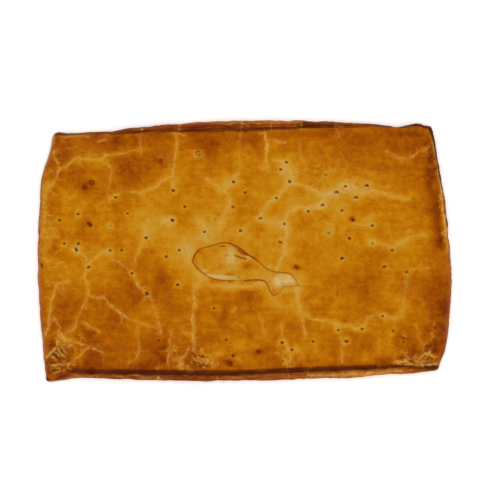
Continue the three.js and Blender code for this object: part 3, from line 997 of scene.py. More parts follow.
@dataclass(frozen=True)
class EggGlazedDough:
    """Wheat dough brushed with beaten egg and baked.

    The egg gives a thin amber gloss, browned unevenly and pale where it cracked. The dough's own dry brown
    shows where the brush didn't reach, on the seams and sides. A span names where a pattern or a mark starts
    to count and where it counts in full.
    """

    name: str
    browning: tuple[tuple[float, str], ...] = (
        (0.0, "#c69b4e"),
        (0.2, "#c2902e"),
        (0.4, "#c07e0e"),
        (0.55, "#b46a05"),
        (0.7, "#a55604"),
        (0.85, "#914404"),
        (1.0, "#722d05"),
    )
    cracked: str = "#cf9b42"
    dry_pale: str = "#c58732"
    dry_light: str = "#ba6322"
    dry_dark: str = "#762c08"
    # Burnt brown, which is also painted shade in creases, slits, pits and furrows and along the edges
    scorched_and_shaded: str = "#541a05"
    # Near black, which is burning and also painted shade in the deepest creases, in pits and along the steep
    # right edge
    charred_and_shaded: str = "#2b1a10"
    # Painted shade in the fork pricks
    hole_shade: str = "#6a2c00"
    ior: float = 1.45
    specular: float = 0.22
    roughness: Span = (0.3, 0.44)
    rough_mottles: Span = (0.3, 0.7)
    dry_roughness: float = 0.5
    dry_coarseness: float = 2.0
    grain_height: float = 0.4
    bump_strength: float = 0.25
    bump_height: float = 0.6 * MM
    browned_by: tuple[tuple[Pattern, float], ...] = (
        (Pattern.CLOUD, 0.4),
        (Pattern.BLOTCH, 0.5),
        (Pattern.MOTTLE, 0.42),
        (Pattern.GRAIN, 0.3),
        (Pattern.STROKE, 0.16),
    )
    crack_haze: float = 0.26
    frayed_by: tuple[tuple[Pattern, float], ...] = ((Pattern.MOTTLE, 0.7), (Pattern.GRAIN, 0.8))
    crack_core: Span = (0.64, 0.96)
    crack_gaps: Span = (0.36, 0.58)
    crack_least: float = 0.25
    fleck_crowding: float = 0.06
    pale_flecks: Span = (0.57, 0.7)
    pale_fleck_strength: float = 0.85
    dark_flecks: Span = (0.4, 0.28)
    dark_fleck_strength: float = 0.7
    toasted_mottle: float = 0.6
    toasted_golden: Span = (0.62, 1.12)
    toasted_brown: Span = (0.95, 1.8)

    def material(self) -> bpy.types.Material:
        """Build the finish, which reads the marks that a piece carries.

        Returns:
            The new material.
        """
        sheet = DoughSheet(bpy.data.materials.new(self.name))
        layers = {0: sheet.marks[Mark.GLAZE], 6: self.dry_colour(sheet), 7: self.glazed_colour(sheet)}
        colour = sheet.add("Mix", {"data_type": "RGBA"}, layers, 2)
        colour = self.cracked_colour(sheet, colour)
        colour = self.flaked_colour(sheet, colour)
        # Darken with burning and painted shade, then with painted shade in the pricks, then with black
        # burning and painted shade
        for mark, shade in ((Mark.SCORCH_AND_SHADE, self.scorched_and_shaded), (Mark.PRICK, self.hole_shade), (Mark.CHAR_AND_SHADE, self.charred_and_shaded)):
            layers = {0: sheet.marks[mark], 6: colour, 7: linear(shade)}
            colour = sheet.add("Mix", {"data_type": "RGBA"}, layers, 2)
        surface = {
            "Base Color": colour,
            "Roughness": self.worn_roughness(sheet),
            "Normal": self.crumbed_normal(sheet),
            "IOR": self.ior,
            "Specular IOR Level": self.specular,
        }
        shader = sheet.add("BsdfPrincipled", {}, surface)
        sheet.add("OutputMaterial", {}, {"Surface": shader})
        return sheet.owner

    def worn_roughness(self, sheet: DoughSheet) -> Any:
        """Make the glaze glossy in mottles, and dry and burnt dough rougher.

        Args:
            sheet: The finish's nodes.

        Returns:
            The roughness output.
        """
        low, high = self.rough_mottles
        smooth, rough = self.roughness
        mottled = {"Value": sheet.noises[Pattern.MOTTLE], "From Min": low, "From Max": high}
        glossy = sheet.add("MapRange", {}, mottled | {"To Min": smooth, "To Max": rough})
        burnt = {0: sheet.marks[Mark.DULL], 1: sheet.marks[Mark.SCORCH_AND_SHADE]}
        dull = sheet.add("Math", {"operation": "MAXIMUM"}, burnt)
        return sheet.add("Math", {"operation": "MULTIPLY_ADD"}, {0: dull, 1: self.dry_roughness, 2: glossy})

    def crumbed_normal(self, sheet: DoughSheet) -> Any:
        """Raise mottles and crumb a little, more where the dough is dry.

        Args:
            sheet: The finish's nodes.

        Returns:
            The normal output.
        """
        crumb = {0: sheet.noises[Pattern.GRAIN], 1: self.grain_height, 2: sheet.noises[Pattern.MOTTLE]}
        height = sheet.add("Math", {"operation": "MULTIPLY_ADD"}, crumb)
        drier = {0: sheet.marks[Mark.DULL], 1: self.dry_coarseness, 2: 1.0}
        coarser = sheet.add("Math", {"operation": "MULTIPLY_ADD"}, drier)
        height = sheet.add("Math", {"operation": "MULTIPLY"}, {0: height, 1: coarser})
        bump = {"Strength": self.bump_strength, "Distance": self.bump_height, "Height": height}
        return sheet.add("Bump", {}, bump)

    def glazed_colour(self, sheet: DoughSheet) -> Any:
        """Colour the glazed lid by how far it is baked, with blotches, mottles and the strokes of the brush.

        Args:
            sheet: The finish's nodes.

        Returns:
            The colour output.
        """
        cracks = {0: sheet.marks[Mark.CRACK], 1: sheet.marks[Mark.PALENESS]}
        haze = sheet.add("Math", {"operation": "MULTIPLY"}, cracks)
        hazed = {0: haze, 1: -self.crack_haze, 2: sheet.marks[Mark.BAKE]}
        baked = sheet.add("Math", {"operation": "MULTIPLY_ADD"}, hazed)
        colour = sheet.add("ValToRGB", {}, {"Fac": sheet.uneven(baked, self.browned_by)})
        elements = colour.node.color_ramp.elements
        while len(elements) < len(self.browning):
            elements.new(0.5)
        for element, (position, shade) in zip(elements, self.browning):
            element.position = position
            element.color = linear(shade)
        return colour

    def cracked_colour(self, sheet: DoughSheet, colour: Any) -> Any:
        """Show the pale dough where the glaze has cracked, with ragged edges and gaps.

        Args:
            sheet: The finish's nodes.
            colour: The colour beside the cracks.

        Returns:
            The colour output.
        """
        low, high = self.crack_core
        frayed = sheet.uneven(sheet.marks[Mark.CRACK], self.frayed_by)
        core = {"Value": frayed, "From Min": low, "From Max": high}
        shown = sheet.add("MapRange", {"interpolation_type": "SMOOTHSTEP"}, core)
        low, high = self.crack_gaps
        gaps = {"Value": sheet.noises[Pattern.GAP], "From Min": low, "From Max": high}
        whole = sheet.add("MapRange", {}, gaps | {"To Min": self.crack_least})
        for share in (whole, sheet.marks[Mark.PALENESS]):
            shown = sheet.add("Math", {"operation": "MULTIPLY"}, {0: shown, 1: share})
        return sheet.add("Mix", {"data_type": "RGBA"}, {0: shown, 6: colour, 7: linear(self.cracked)}, 2)

    def flaked_colour(self, sheet: DoughSheet, colour: Any) -> Any:
        """Scatter pale and dark flecks where the crust flakes, and pale ones beside its cracks.

        Args:
            sheet: The finish's nodes.
            colour: The colour under the flecks.

        Returns:
            The colour output.
        """
        flake = sheet.marks[Mark.FLAKE]
        fleck = sheet.noises[Pattern.FLECK]
        cracks = {0: sheet.marks[Mark.CRACK], 1: sheet.marks[Mark.PALENESS]}
        beside = sheet.add("Math", {"operation": "MULTIPLY"}, cracks)
        zone = sheet.add("Math", {"operation": "MAXIMUM"}, {0: beside, 1: flake})
        crowded = {0: flake, 1: self.fleck_crowding, 2: fleck}
        denser = sheet.add("Math", {"operation": "MULTIPLY_ADD"}, crowded)
        tones = (
            (denser, self.pale_flecks, self.pale_fleck_strength, zone, self.cracked),
            (fleck, self.dark_flecks, self.dark_fleck_strength, flake, self.dry_dark),
        )
        for noise, (low, high), strength, where, shade in tones:
            flecks = {"Value": noise, "From Min": low, "From Max": high, "To Max": strength}
            shown = sheet.add("MapRange", {}, flecks)
            shown = sheet.add("Math", {"operation": "MULTIPLY"}, {0: shown, 1: where})
            colour = sheet.add("Mix", {"data_type": "RGBA"}, {0: shown, 6: colour, 7: linear(shade)}, 2)
        return colour

    def dry_colour(self, sheet: DoughSheet) -> Any:
        """Colour the dry dough of the seams, sides and underside by how far it is toasted.

        Args:
            sheet: The finish's nodes.

        Returns:
            The colour output.
        """
        mottles = {0: sheet.noises[Pattern.MOTTLE], 1: self.toasted_mottle, 2: sheet.noises[Pattern.TOASTING]}
        patchy = sheet.add("Math", {"operation": "MULTIPLY_ADD"}, mottles)
        toasting = sheet.add("Math", {"operation": "ADD"}, {0: patchy, 1: sheet.marks[Mark.TOAST]})
        colour = linear(self.dry_pale)
        tones = ((self.toasted_golden, self.dry_light), (self.toasted_brown, self.dry_dark))
        for (low, high), shade in tones:
            share = sheet.add("MapRange", {}, {"Value": toasting, "From Min": low, "From Max": high})
            colour = sheet.add("Mix", {"data_type": "RGBA"}, {0: share, 6: colour, 7: linear(shade)}, 2)
        return colour


def dress(piece: bpy.types.Object, finish: EggGlazedDough) -> None:
    """Give a piece its finish and shade it smooth, except over sharp edges.

    Args:
        piece: The shaped piece.
        finish: What it is made of.
    """
    piece.data.materials.append(finish.material())
    select_only(piece)
    bpy.ops.object.shade_smooth_by_angle(angle=SMOOTH_ANGLE)


@dataclass
class DoughMarks:
    """What the points of a piece carry, worked out from where they show in the photograph."""

    places: np.ndarray
    values: dict[Mark, np.ndarray] = field(default_factory=dict)
    reach: float = 4.0
    drawn_edge: Span = (0.6, 0.88)

    def closeness(self, line: Line) -> np.ndarray:
        """Return 1 on a line, falling evenly to 0 where it no longer reaches."""
        limit = self.reach * line.half_width
        return 1 - distance_to(self.places, line.path, limit) / limit

    def crack(self, lines: Iterable[Line]) -> None:
        """Set how close each point is to a crack and how pale the closest crack is.

        Args:
            lines: The cracks.
        """
        self.values[Mark.CRACK] = np.zeros(len(self.places))
        self.values[Mark.PALENESS] = np.zeros(len(self.places))
        for line in lines:
            close = self.closeness(line)
            closer = close > self.values[Mark.CRACK]
            self.values[Mark.CRACK][closer] = close[closer]
            self.values[Mark.PALENESS][closer] = line.strength

    def drawn(self, lines: Iterable[Line]) -> np.ndarray:
        """Find how clearly the clearest line shows at each point.

        Args:
            lines: The lines.

        Returns:
            A share from 0 to 1 for each point.
        """
        clearest = np.zeros(len(self.places))
        for line in lines:
            shown = line.strength * soft_step(self.closeness(line), *self.drawn_edge)
            np.maximum(clearest, shown, out=clearest)
        return clearest

    def patched(self, patches: Iterable[Patch]) -> np.ndarray:
        """Add soft patches up.

        Args:
            patches: The patches.

        Returns:
            Their sum at each point.
        """
        total = np.zeros(len(self.places))
        for patch in patches:
            away = (self.places - (patch.x, patch.y)) / (patch.wide, patch.deep)
            total += patch.amount * np.exp(-(away**2).sum(axis=1))
        return total

    def brown_and_shade_along(self, lines: Iterable[Line]) -> None:
        """Darken the points along lines with browning and painted shade, most on a line and softly less to
        both sides.

        Args:
            lines: The lines.
        """
        for line in lines:
            away = distance_to(self.places, line.path, self.reach * line.half_width) / line.half_width
            self.values[Mark.BAKE] += line.strength * np.exp(-(away**2))

    def write(self, piece: bpy.types.Object) -> None:
        """Store every mark on the piece, 0 where a mark was never set.

        Args:
            piece: The piece whose points these are.
        """
        for mark in Mark:
            values = self.values.get(mark, np.zeros(len(self.places)))
            attribute = piece.data.attributes.new(mark.value, "FLOAT", "POINT")
            attribute.data.foreach_set("value", np.clip(values, 0, 1).astype(np.float32))


def along_sides(points: np.ndarray, places: np.ndarray) -> np.ndarray:
    """Unroll the sides: how far along them each point lies, and how high, in pixels."""
    height = SIDE_STRETCH * points[:, 2] / PLAN.pixel()
    return np.stack([places[:, 0] + places[:, 1], height], axis=1)


@dataclass(frozen=True)
class ForkPricks:
    """The holes that a fork left in the lid: small slots darkened with painted shade, with a pale halo, in
    pixels.

    Those on the right are a little paler, and a few have baked nearly shut.
    """

    floor_area: float = 2.2 * MM * MM
    floor_slope: float = 0.9
    margin: float = 4.0
    lift: Span = (1.2 * MM, 2.4 * MM)
    lean: float = 0.35
    slot: Span = (0.25, 0.75)
    radius: float = 1.2
    radius_shares: Span = (0.75, 1.15)
    strengths: Span = (0.8, 1.0)
    edge: Span = (0.4, 1.7)
    halo: float = 3.5
    halo_reach: float = 3.0
    halo_paleness: Span = (0.08, 0.36)
    shut_reach: float = 4.0
    shut_strength: float = 0.45
    paler_side: Span = (190, 250)
    paler_strength: float = 0.88
    seed: int = 7

    def lift_floors(self, piece: bpy.types.Object) -> tuple[Line, ...]:
        """Find the pricks and lift their floors unevenly.

        Their floors are the only tiny faces between the creases that look up.

        Args:
            piece: The copy of the crust's solid.

        Returns:
            A short line for each prick.
        """
        faces = piece.data.polygons
        areas = np.empty(len(faces))
        faces.foreach_get("area", areas)
        centres = PLAN.pixels(read_rows(faces, "center"))
        floors = (areas < self.floor_area) & (read_rows(faces, "normal")[:, 2] > self.floor_slope)
        floors &= centres[:, 1] > BACK_CREASE[0][1] + self.margin
        floors &= centres[:, 1] < FRONT_CREASE[-1][1]
        draw = np.random.default_rng(self.seed)
        pricks = []
        for face in np.flatnonzero(floors).tolist():
            x, y = centres[face]
            lift = draw.uniform(*self.lift)
            for corner in faces[face].vertices:
                piece.data.vertices[corner].co.z += lift
            lean = draw.uniform(-self.lean, self.lean)
            half = draw.uniform(*self.slot)
            path = ((x - half, y - half * lean), (x + half, y + half * lean))
            radius = self.radius * draw.uniform(*self.radius_shares)
            strength = draw.uniform(*self.strengths)
            strength *= np.interp(x, self.paler_side, (1, self.paler_strength))
            if min(math.dist((x, y), spot) for spot in BAKED_SHUT) < self.shut_reach:
                strength *= self.shut_strength
            pricks.append(Line(path, radius, strength))
        return tuple(pricks)

    def mark(self, marks: DoughMarks, pricks: tuple[Line, ...]) -> None:
        """Paint shade into the pricks and pale the lid round them, some more than others.

        Args:
            marks: The crust's marks.
            pricks: The line of each prick.
        """
        draw = np.random.default_rng(self.seed + 1)
        inner, outer = self.edge
        marks.values[Mark.PRICK] = np.zeros(len(marks.places))
        for prick in pricks:
            away = distance_to(marks.places, prick.path, self.halo_reach * self.halo)
            edge = soft_step(away, inner * prick.half_width, outer * prick.half_width)
            for mark in (Mark.PRICK, Mark.DULL):
                np.maximum(marks.values[mark], prick.strength * (1 - edge), out=marks.values[mark])
            halo = np.exp(-((away / self.halo) ** 2))
            marks.values[Mark.BAKE] -= draw.uniform(*self.halo_paleness) * halo


@dataclass(frozen=True)
class Blisters:
    """Small blisters in the glaze with dark rims, in pixels."""

    radius: float = 2.2
    radius_shares: Span = (0.7, 1.1)
    steps: int = 16
    rim_width: float = 0.7
    strengths: Span = (0.65, 0.9)
    seed: int = 9

    def rims(self) -> tuple[Line, ...]:
        """Draw the rims as rings of short straight steps.

        Returns:
            A line for each blister.
        """
        turns = np.linspace(0, 2 * math.pi, self.steps + 1)
        ring = np.stack([np.cos(turns), np.sin(turns)], axis=1)
        draw = np.random.default_rng(self.seed)
        rims = []
        for centre in BLISTER_RINGS:
            rim = ring * self.radius * draw.uniform(*self.radius_shares, 2) + centre
            rims.append(Line(tuple(map(tuple, rim)), self.rim_width, draw.uniform(*self.strengths)))
        return tuple(rims)


@dataclass(frozen=True)
class BurntAndShadedEdges:
    """How the dark edges, burnt and painted with shade, end: raggedly, part of the way down the sides."""

    wobble: float = 0.4
    slope: Span = (-0.6, -0.3)
    height: Span = (7 * MM, 17 * MM)
    fringe: float = 5 * MM
    fringe_waves: tuple[Wave, ...] = (Wave(1.0, 11, 19), Wave(0.6, 4, 20))
    plain: float = 0.85
    waves: tuple[Wave, ...] = (Wave(0.15, 9, 5),)

    def fade(self, marks: DoughMarks, points: np.ndarray, normals: np.ndarray) -> None:
        """Fade the burnt marks and their painted shade, except at the black tips of the front corners.

        Args:
            marks: The crust's marks.
            points: The crust's points, in metres.
            normals: The way each point faces.
        """
        fringe = self.fringe * rippled(along_sides(points, marks.places), self.fringe_waves)
        high = soft_step(points[:, 2] + fringe, *self.height)
        kept = np.minimum(soft_step(normals[:, 2], *self.slope), high)
        kept *= self.plain + rippled(marks.places, self.waves)
        for mark in (Mark.SCORCH_AND_SHADE, Mark.CHAR_AND_SHADE):
            marks.values[mark] *= kept
        np.maximum(marks.values[Mark.CHAR_AND_SHADE], marks.drawn(CHARRED_TIPS), out=marks.values[Mark.CHAR_AND_SHADE])


@dataclass(frozen=True)
class EggBrush:
    """Where the egg was brushed on: the lid up to the creases, and not the rolled seams beyond them.

    A seam lies bare within a span of pixels past its crease. The front seam starts and ends softly along its
    crease, and the back seam ends softly.
    """

    bare_front: Span = (0.5, 2.5)
    bare_back: Span = (0.0, 1.5)
    front_fade_in: float = 8.0
    front_fade_from: float = 405.0
    back_fade: float = 4.0

    def reached(self, places: np.ndarray) -> np.ndarray:
        """Tell where the brush reached.

        Args:
            places: Where the points show, in pixels.

        Returns:
            1 where the lid is glazed and 0 on the seams.
        """
        x, y = places.T
        front_x, front_y = np.transpose(FRONT_CREASE)
        back_x, back_y = np.transpose(BACK_CREASE)
        over_front = soft_step(y - np.interp(x, front_x, front_y), *self.bare_front)
        over_front *= soft_step(x, front_x[0], front_x[0] + self.front_fade_in)
        over_front *= 1 - soft_step(x, self.front_fade_from, front_x[-1])
        over_back = soft_step(np.interp(x, back_x, back_y) - y, *self.bare_back)
        over_back *= 1 - soft_step(x, back_x[-1] - self.back_fade, back_x[-1] + self.back_fade)
        return (1 - over_front) * (1 - over_back)


@dataclass(frozen=True)
class DryToasting:
    """How far the dry dough is toasted: most on the seams and at the foot, least half way up a side."""

    least: float = 0.05
    top_slope: Span = (0.1, 0.5)
    rim: Span = (0.15, 0.42)
    rim_run: Span = (150, 440)
    seam: float = 0.5
    seam_waves: tuple[Wave, ...] = (Wave(0.12, 22, 16),)
    foot: float = 0.55
    foot_height: float = 4 * MM
    shoulder: float = 0.3
    shoulder_height: Span = (13 * MM, 24 * MM)
    side_waves: tuple[Wave, ...] = (Wave(0.2, 20, 16), Wave(0.1, 7, 18))

    def shares(
        self, points: np.ndarray, places: np.ndarray, normals: np.ndarray, brushed: np.ndarray
    ) -> np.ndarray:
        """Work out how far each point is toasted.

        Args:
            points: The crust's points, in metres.
            places: Where they show, in pixels.
            normals: The way each point faces.
            brushed: 1 where the lid is glazed and 0 on the seams.

        Returns:
            A share from 0 to 1 for each point.
        """
        top = soft_step(normals[:, 2], *self.top_slope)
        rim = self.rim[0] + soft_step(places[:, 0], *self.rim_run) * np.ptp(self.rim)
        seam = self.seam + rippled(places, self.seam_waves)
        foot = np.exp(-((points[:, 2] / self.foot_height) ** 2))
        side = self.foot * foot + self.shoulder * soft_step(points[:, 2], *self.shoulder_height)
        side += rippled(along_sides(points, places), self.side_waves)
        return self.least + top * (brushed * rim + (1 - brushed) * seam) + (1 - top) * side


@dataclass(frozen=True)
class DoughRelief:
    """The crust's fine relief: lumps, ridges and flakes, with the cracks sunk in, and folds on the sides."""

    lid_slope: Span = (0.1, 0.6)
    lump: float = 0.35 * MM
    lump_waves: tuple[Wave, ...] = (Wave(1.0, 19, 11), Wave(0.5, 8, 12))
    flake: float = 0.35 * MM
    flake_waves: tuple[Wave, ...] = (Wave(1.0, 2.6, 13),)
    ridge: float = 0.6 * MM
    ridge_side: Span = (0.4, 1.0)
    crack: float = 0.4 * MM
    crack_side: Span = (0.6, 1.0)
    fold: float = 0.9 * MM
    fold_waves: tuple[Wave, ...] = (Wave(1.0, 15, 14), Wave(0.6, 6, 15), Wave(0.3, 3.2, 17))
    fold_start: Span = (0.5 * MM, 3 * MM)

    def heights(self, marks: DoughMarks, points: np.ndarray, normals: np.ndarray) -> np.ndarray:
        """Work out how far the surface stands out.

        Args:
            marks: The crust's marks.
            points: The crust's points, in metres.
            normals: The way each point faces.

        Returns:
            The distance that each point moves along its normal, in metres.
        """
        facing = soft_step(normals[:, 2], *self.lid_slope)
        standing = soft_step(points[:, 2], *self.fold_start) * (1 - facing)
        groove = soft_step(marks.values[Mark.CRACK], *self.crack_side) * marks.values[Mark.PALENESS]
        crest = np.zeros(len(points))
        for ridge in PINCH.ridges():
            np.maximum(crest, soft_step(marks.closeness(ridge), *self.ridge_side), out=crest)
        lumps = rippled(marks.places, self.lump_waves)
        flakes = rippled(marks.places, self.flake_waves) * np.minimum(marks.values[Mark.FLAKE], 1)
        folds = rippled(along_sides(points, marks.places), self.fold_waves)
        rise = self.lump * lumps + self.flake * flakes + self.ridge * crest
        return facing * (rise - self.crack * groove * (1 - crest)) + standing * self.fold * folds


@dataclass
class Crust:
    """The whole pie: the lid with its cracks and pricks, the rolled seams, the sides and the underside.

    Margins and the wobble of its cracks are in pixels, and a slope is the upward part of a normal.
    """

    node: str = "crust"
    name: str = "baked_crust"
    fish_outline: tuple[Line, ...] = ()
    finish: EggGlazedDough = EggGlazedDough("egg_glazed_wheat_dough")
    pricks: ForkPricks = ForkPricks()
    blisters: Blisters = Blisters()
    burns_and_shade: BurntAndShadedEdges = BurntAndShadedEdges()
    brush: EggBrush = EggBrush()
    toasting: DryToasting = DryToasting()
    relief: DoughRelief = DoughRelief()
    base_slope: float = -0.99
    base_height: float = 0.01 * MM
    base_border: float = 5 * MM
    fine_margin: float = 1.5
    finest_margin: float = 0.7
    fine_slope: float = 0.2
    plain_bake: float = 0.52
    patch_weight: float = 1.1
    fish_shade: float = 0.5
    glossy_slope: Span = (0.6, 0.93)
    pale_slope: Span = (0.0, 0.35)
    side_flecks: float = 0.22
    wobble: float = 1.1
    wobble_waves: tuple[tuple[Wave, ...], ...] = (
        (Wave(1.0, 6, 1), Wave(0.6, 2.4, 2)),
        (Wave(1.0, 6, 3), Wave(0.6, 2.4, 4)),
    )

    def build(self) -> bpy.types.Object:
        """Shape the pie, set its marks and dress it.

        Returns:
            The finished piece.
        """
        piece = copy_of_node(self.node, self.name)
        pricks = self.pricks.lift_floors(piece)
        self.open_base(piece)
        apply_modifier(piece, "SUBSURF", {"levels": 1, "render_levels": 1})
        fine = CRACKS + BURNT_AND_SHADED_EDGES + crazed(PALE_CRAZING + DARK_CRAZING)
        finest = SLITS + PINCH.ridges() + self.fish_outline + self.blisters.rims() + pricks
        self.refine(piece, fine + finest, self.fine_margin)
        self.refine(piece, finest, self.finest_margin)
        self.close_base(piece)
        self.mark(piece, pricks)
        dress(piece, self.finish)
        return piece

    def open_base(self, piece: bpy.types.Object) -> None:
        """Take the underside away, so that rounding the pie leaves its rim flat on the table.

        Args:
            piece: The crust.
        """
        faces = piece.data.polygons
        flat = read_rows(faces, "normal")[:, 2] < self.base_slope
        pick_faces(piece, flat & (read_rows(faces, "center")[:, 2] < self.base_height))
        with editing(piece):
            bpy.ops.mesh.delete(type="FACE")

    def close_base(self, piece: bpy.types.Object) -> None:
        """Close the underside with one flat face and a border inside its rim.

        Args:
            piece: The crust.
        """
        other_edges = ("use_wire", "use_multi_face", "use_non_contiguous", "use_verts")
        with editing(piece, "EDGE"):
            bpy.ops.mesh.select_all(action="DESELECT")
            bpy.ops.mesh.select_non_manifold(use_boundary=True, **dict.fromkeys(other_edges, False))
            bpy.ops.mesh.edge_face_add()
            bpy.ops.mesh.select_mode(type="FACE")
            bpy.ops.mesh.inset(thickness=self.base_border)

    def refine(self, piece: bpy.types.Object, lines: tuple[Line, ...], margin: float) -> None:
        """Halve the faces near lines of the lid, so that a narrow line has points enough.

        Args:
            piece: The crust.
            lines: What the faces are near to.
            margin: How far beyond a line's half width they reach, in pixels.
        """
        places = PLAN.pixels(read_rows(piece.data.polygons, "center"))
        near = np.zeros(len(places), bool)
        for line in lines:
            limit = line.half_width + margin
            near |= distance_to(places, line.path, limit) < limit
        pick_faces(piece, near & (read_rows(piece.data.polygons, "normal")[:, 2] > self.fine_slope))
        with editing(piece):
            bpy.ops.mesh.subdivide(number_cuts=1, smoothness=0)

    def mark(self, piece: bpy.types.Object, pricks: tuple[Line, ...]) -> None:
        """Work out every mark, raise and sink the surface and store what the finish reads.

        Args:
            piece: The crust.
            pricks: The fork pricks.
        """
        nudge(piece, NUDGES)
        points = read_rows(piece.data.vertices, "co")
        normals = read_rows(piece.data.vertices, "normal")
        places = PLAN.pixels(points)
        wobble = self.wobble * np.stack([rippled(places, waves) for waves in self.wobble_waves], axis=1)
        marks = DoughMarks(places + wobble)
        marks.crack(CRACKS + HairCracks().grown_from(CRACKS) + crazed(PALE_CRAZING) + PINCH.ridges())
        marks.places = places + self.burns_and_shade.wobble * wobble
        # Burning, with painted shade in the creases, slits, pits and furrows and along the edges
        dark = BURNT_AND_SHADED_EDGES + SLITS + crazed(DARK_CRAZING) + PINCH.furrows() + self.blisters.rims()
        marks.values[Mark.SCORCH_AND_SHADE] = marks.drawn(dark)
        marks.values[Mark.CHAR_AND_SHADE] = marks.drawn(CHARRED_AND_SHADED)
        marks.places = places
        self.mark_browning_and_shade(marks, normals)
        self.burns_and_shade.fade(marks, points, normals)
        brushed = self.brush.reached(places)
        toasted = self.toasting.shares(points, places, normals, brushed)
        marks.values[Mark.GLAZE] = soft_step(normals[:, 2], *BRUSHED_SLOPE) * brushed
        marks.values[Mark.DULL] = 1 - soft_step(normals[:, 2], *self.glossy_slope) * brushed
        marks.values[Mark.TOAST] = toasted + marks.patched(TOASTED)
        self.pricks.mark(marks, pricks)
        set_points(piece, points + self.relief.heights(marks, points, normals)[:, None] * normals)
        marks.write(piece)

    def mark_browning_and_shade(self, marks: DoughMarks, normals: np.ndarray) -> None:
        """Brown the lid in patches, darken it along its edges with browning and painted shade and round the
        fish with painted shade, and set where it flakes and where cracks show pale.

        Args:
            marks: The crust's marks.
            normals: The way each point faces.
        """
        facing = soft_step(normals[:, 2], *self.pale_slope)
        marks.values[Mark.PALENESS] *= facing
        marks.values[Mark.FLAKE] = marks.patched(FLAKY) + self.side_flecks * (1 - facing)
        marks.values[Mark.BAKE] = self.plain_bake + self.patch_weight * marks.patched(PATCHES)
        marks.values[Mark.BAKE] += self.fish_shade * marks.drawn(self.fish_outline)
        marks.brown_and_shade_along(EDGE_BROWNING_AND_SHADE)


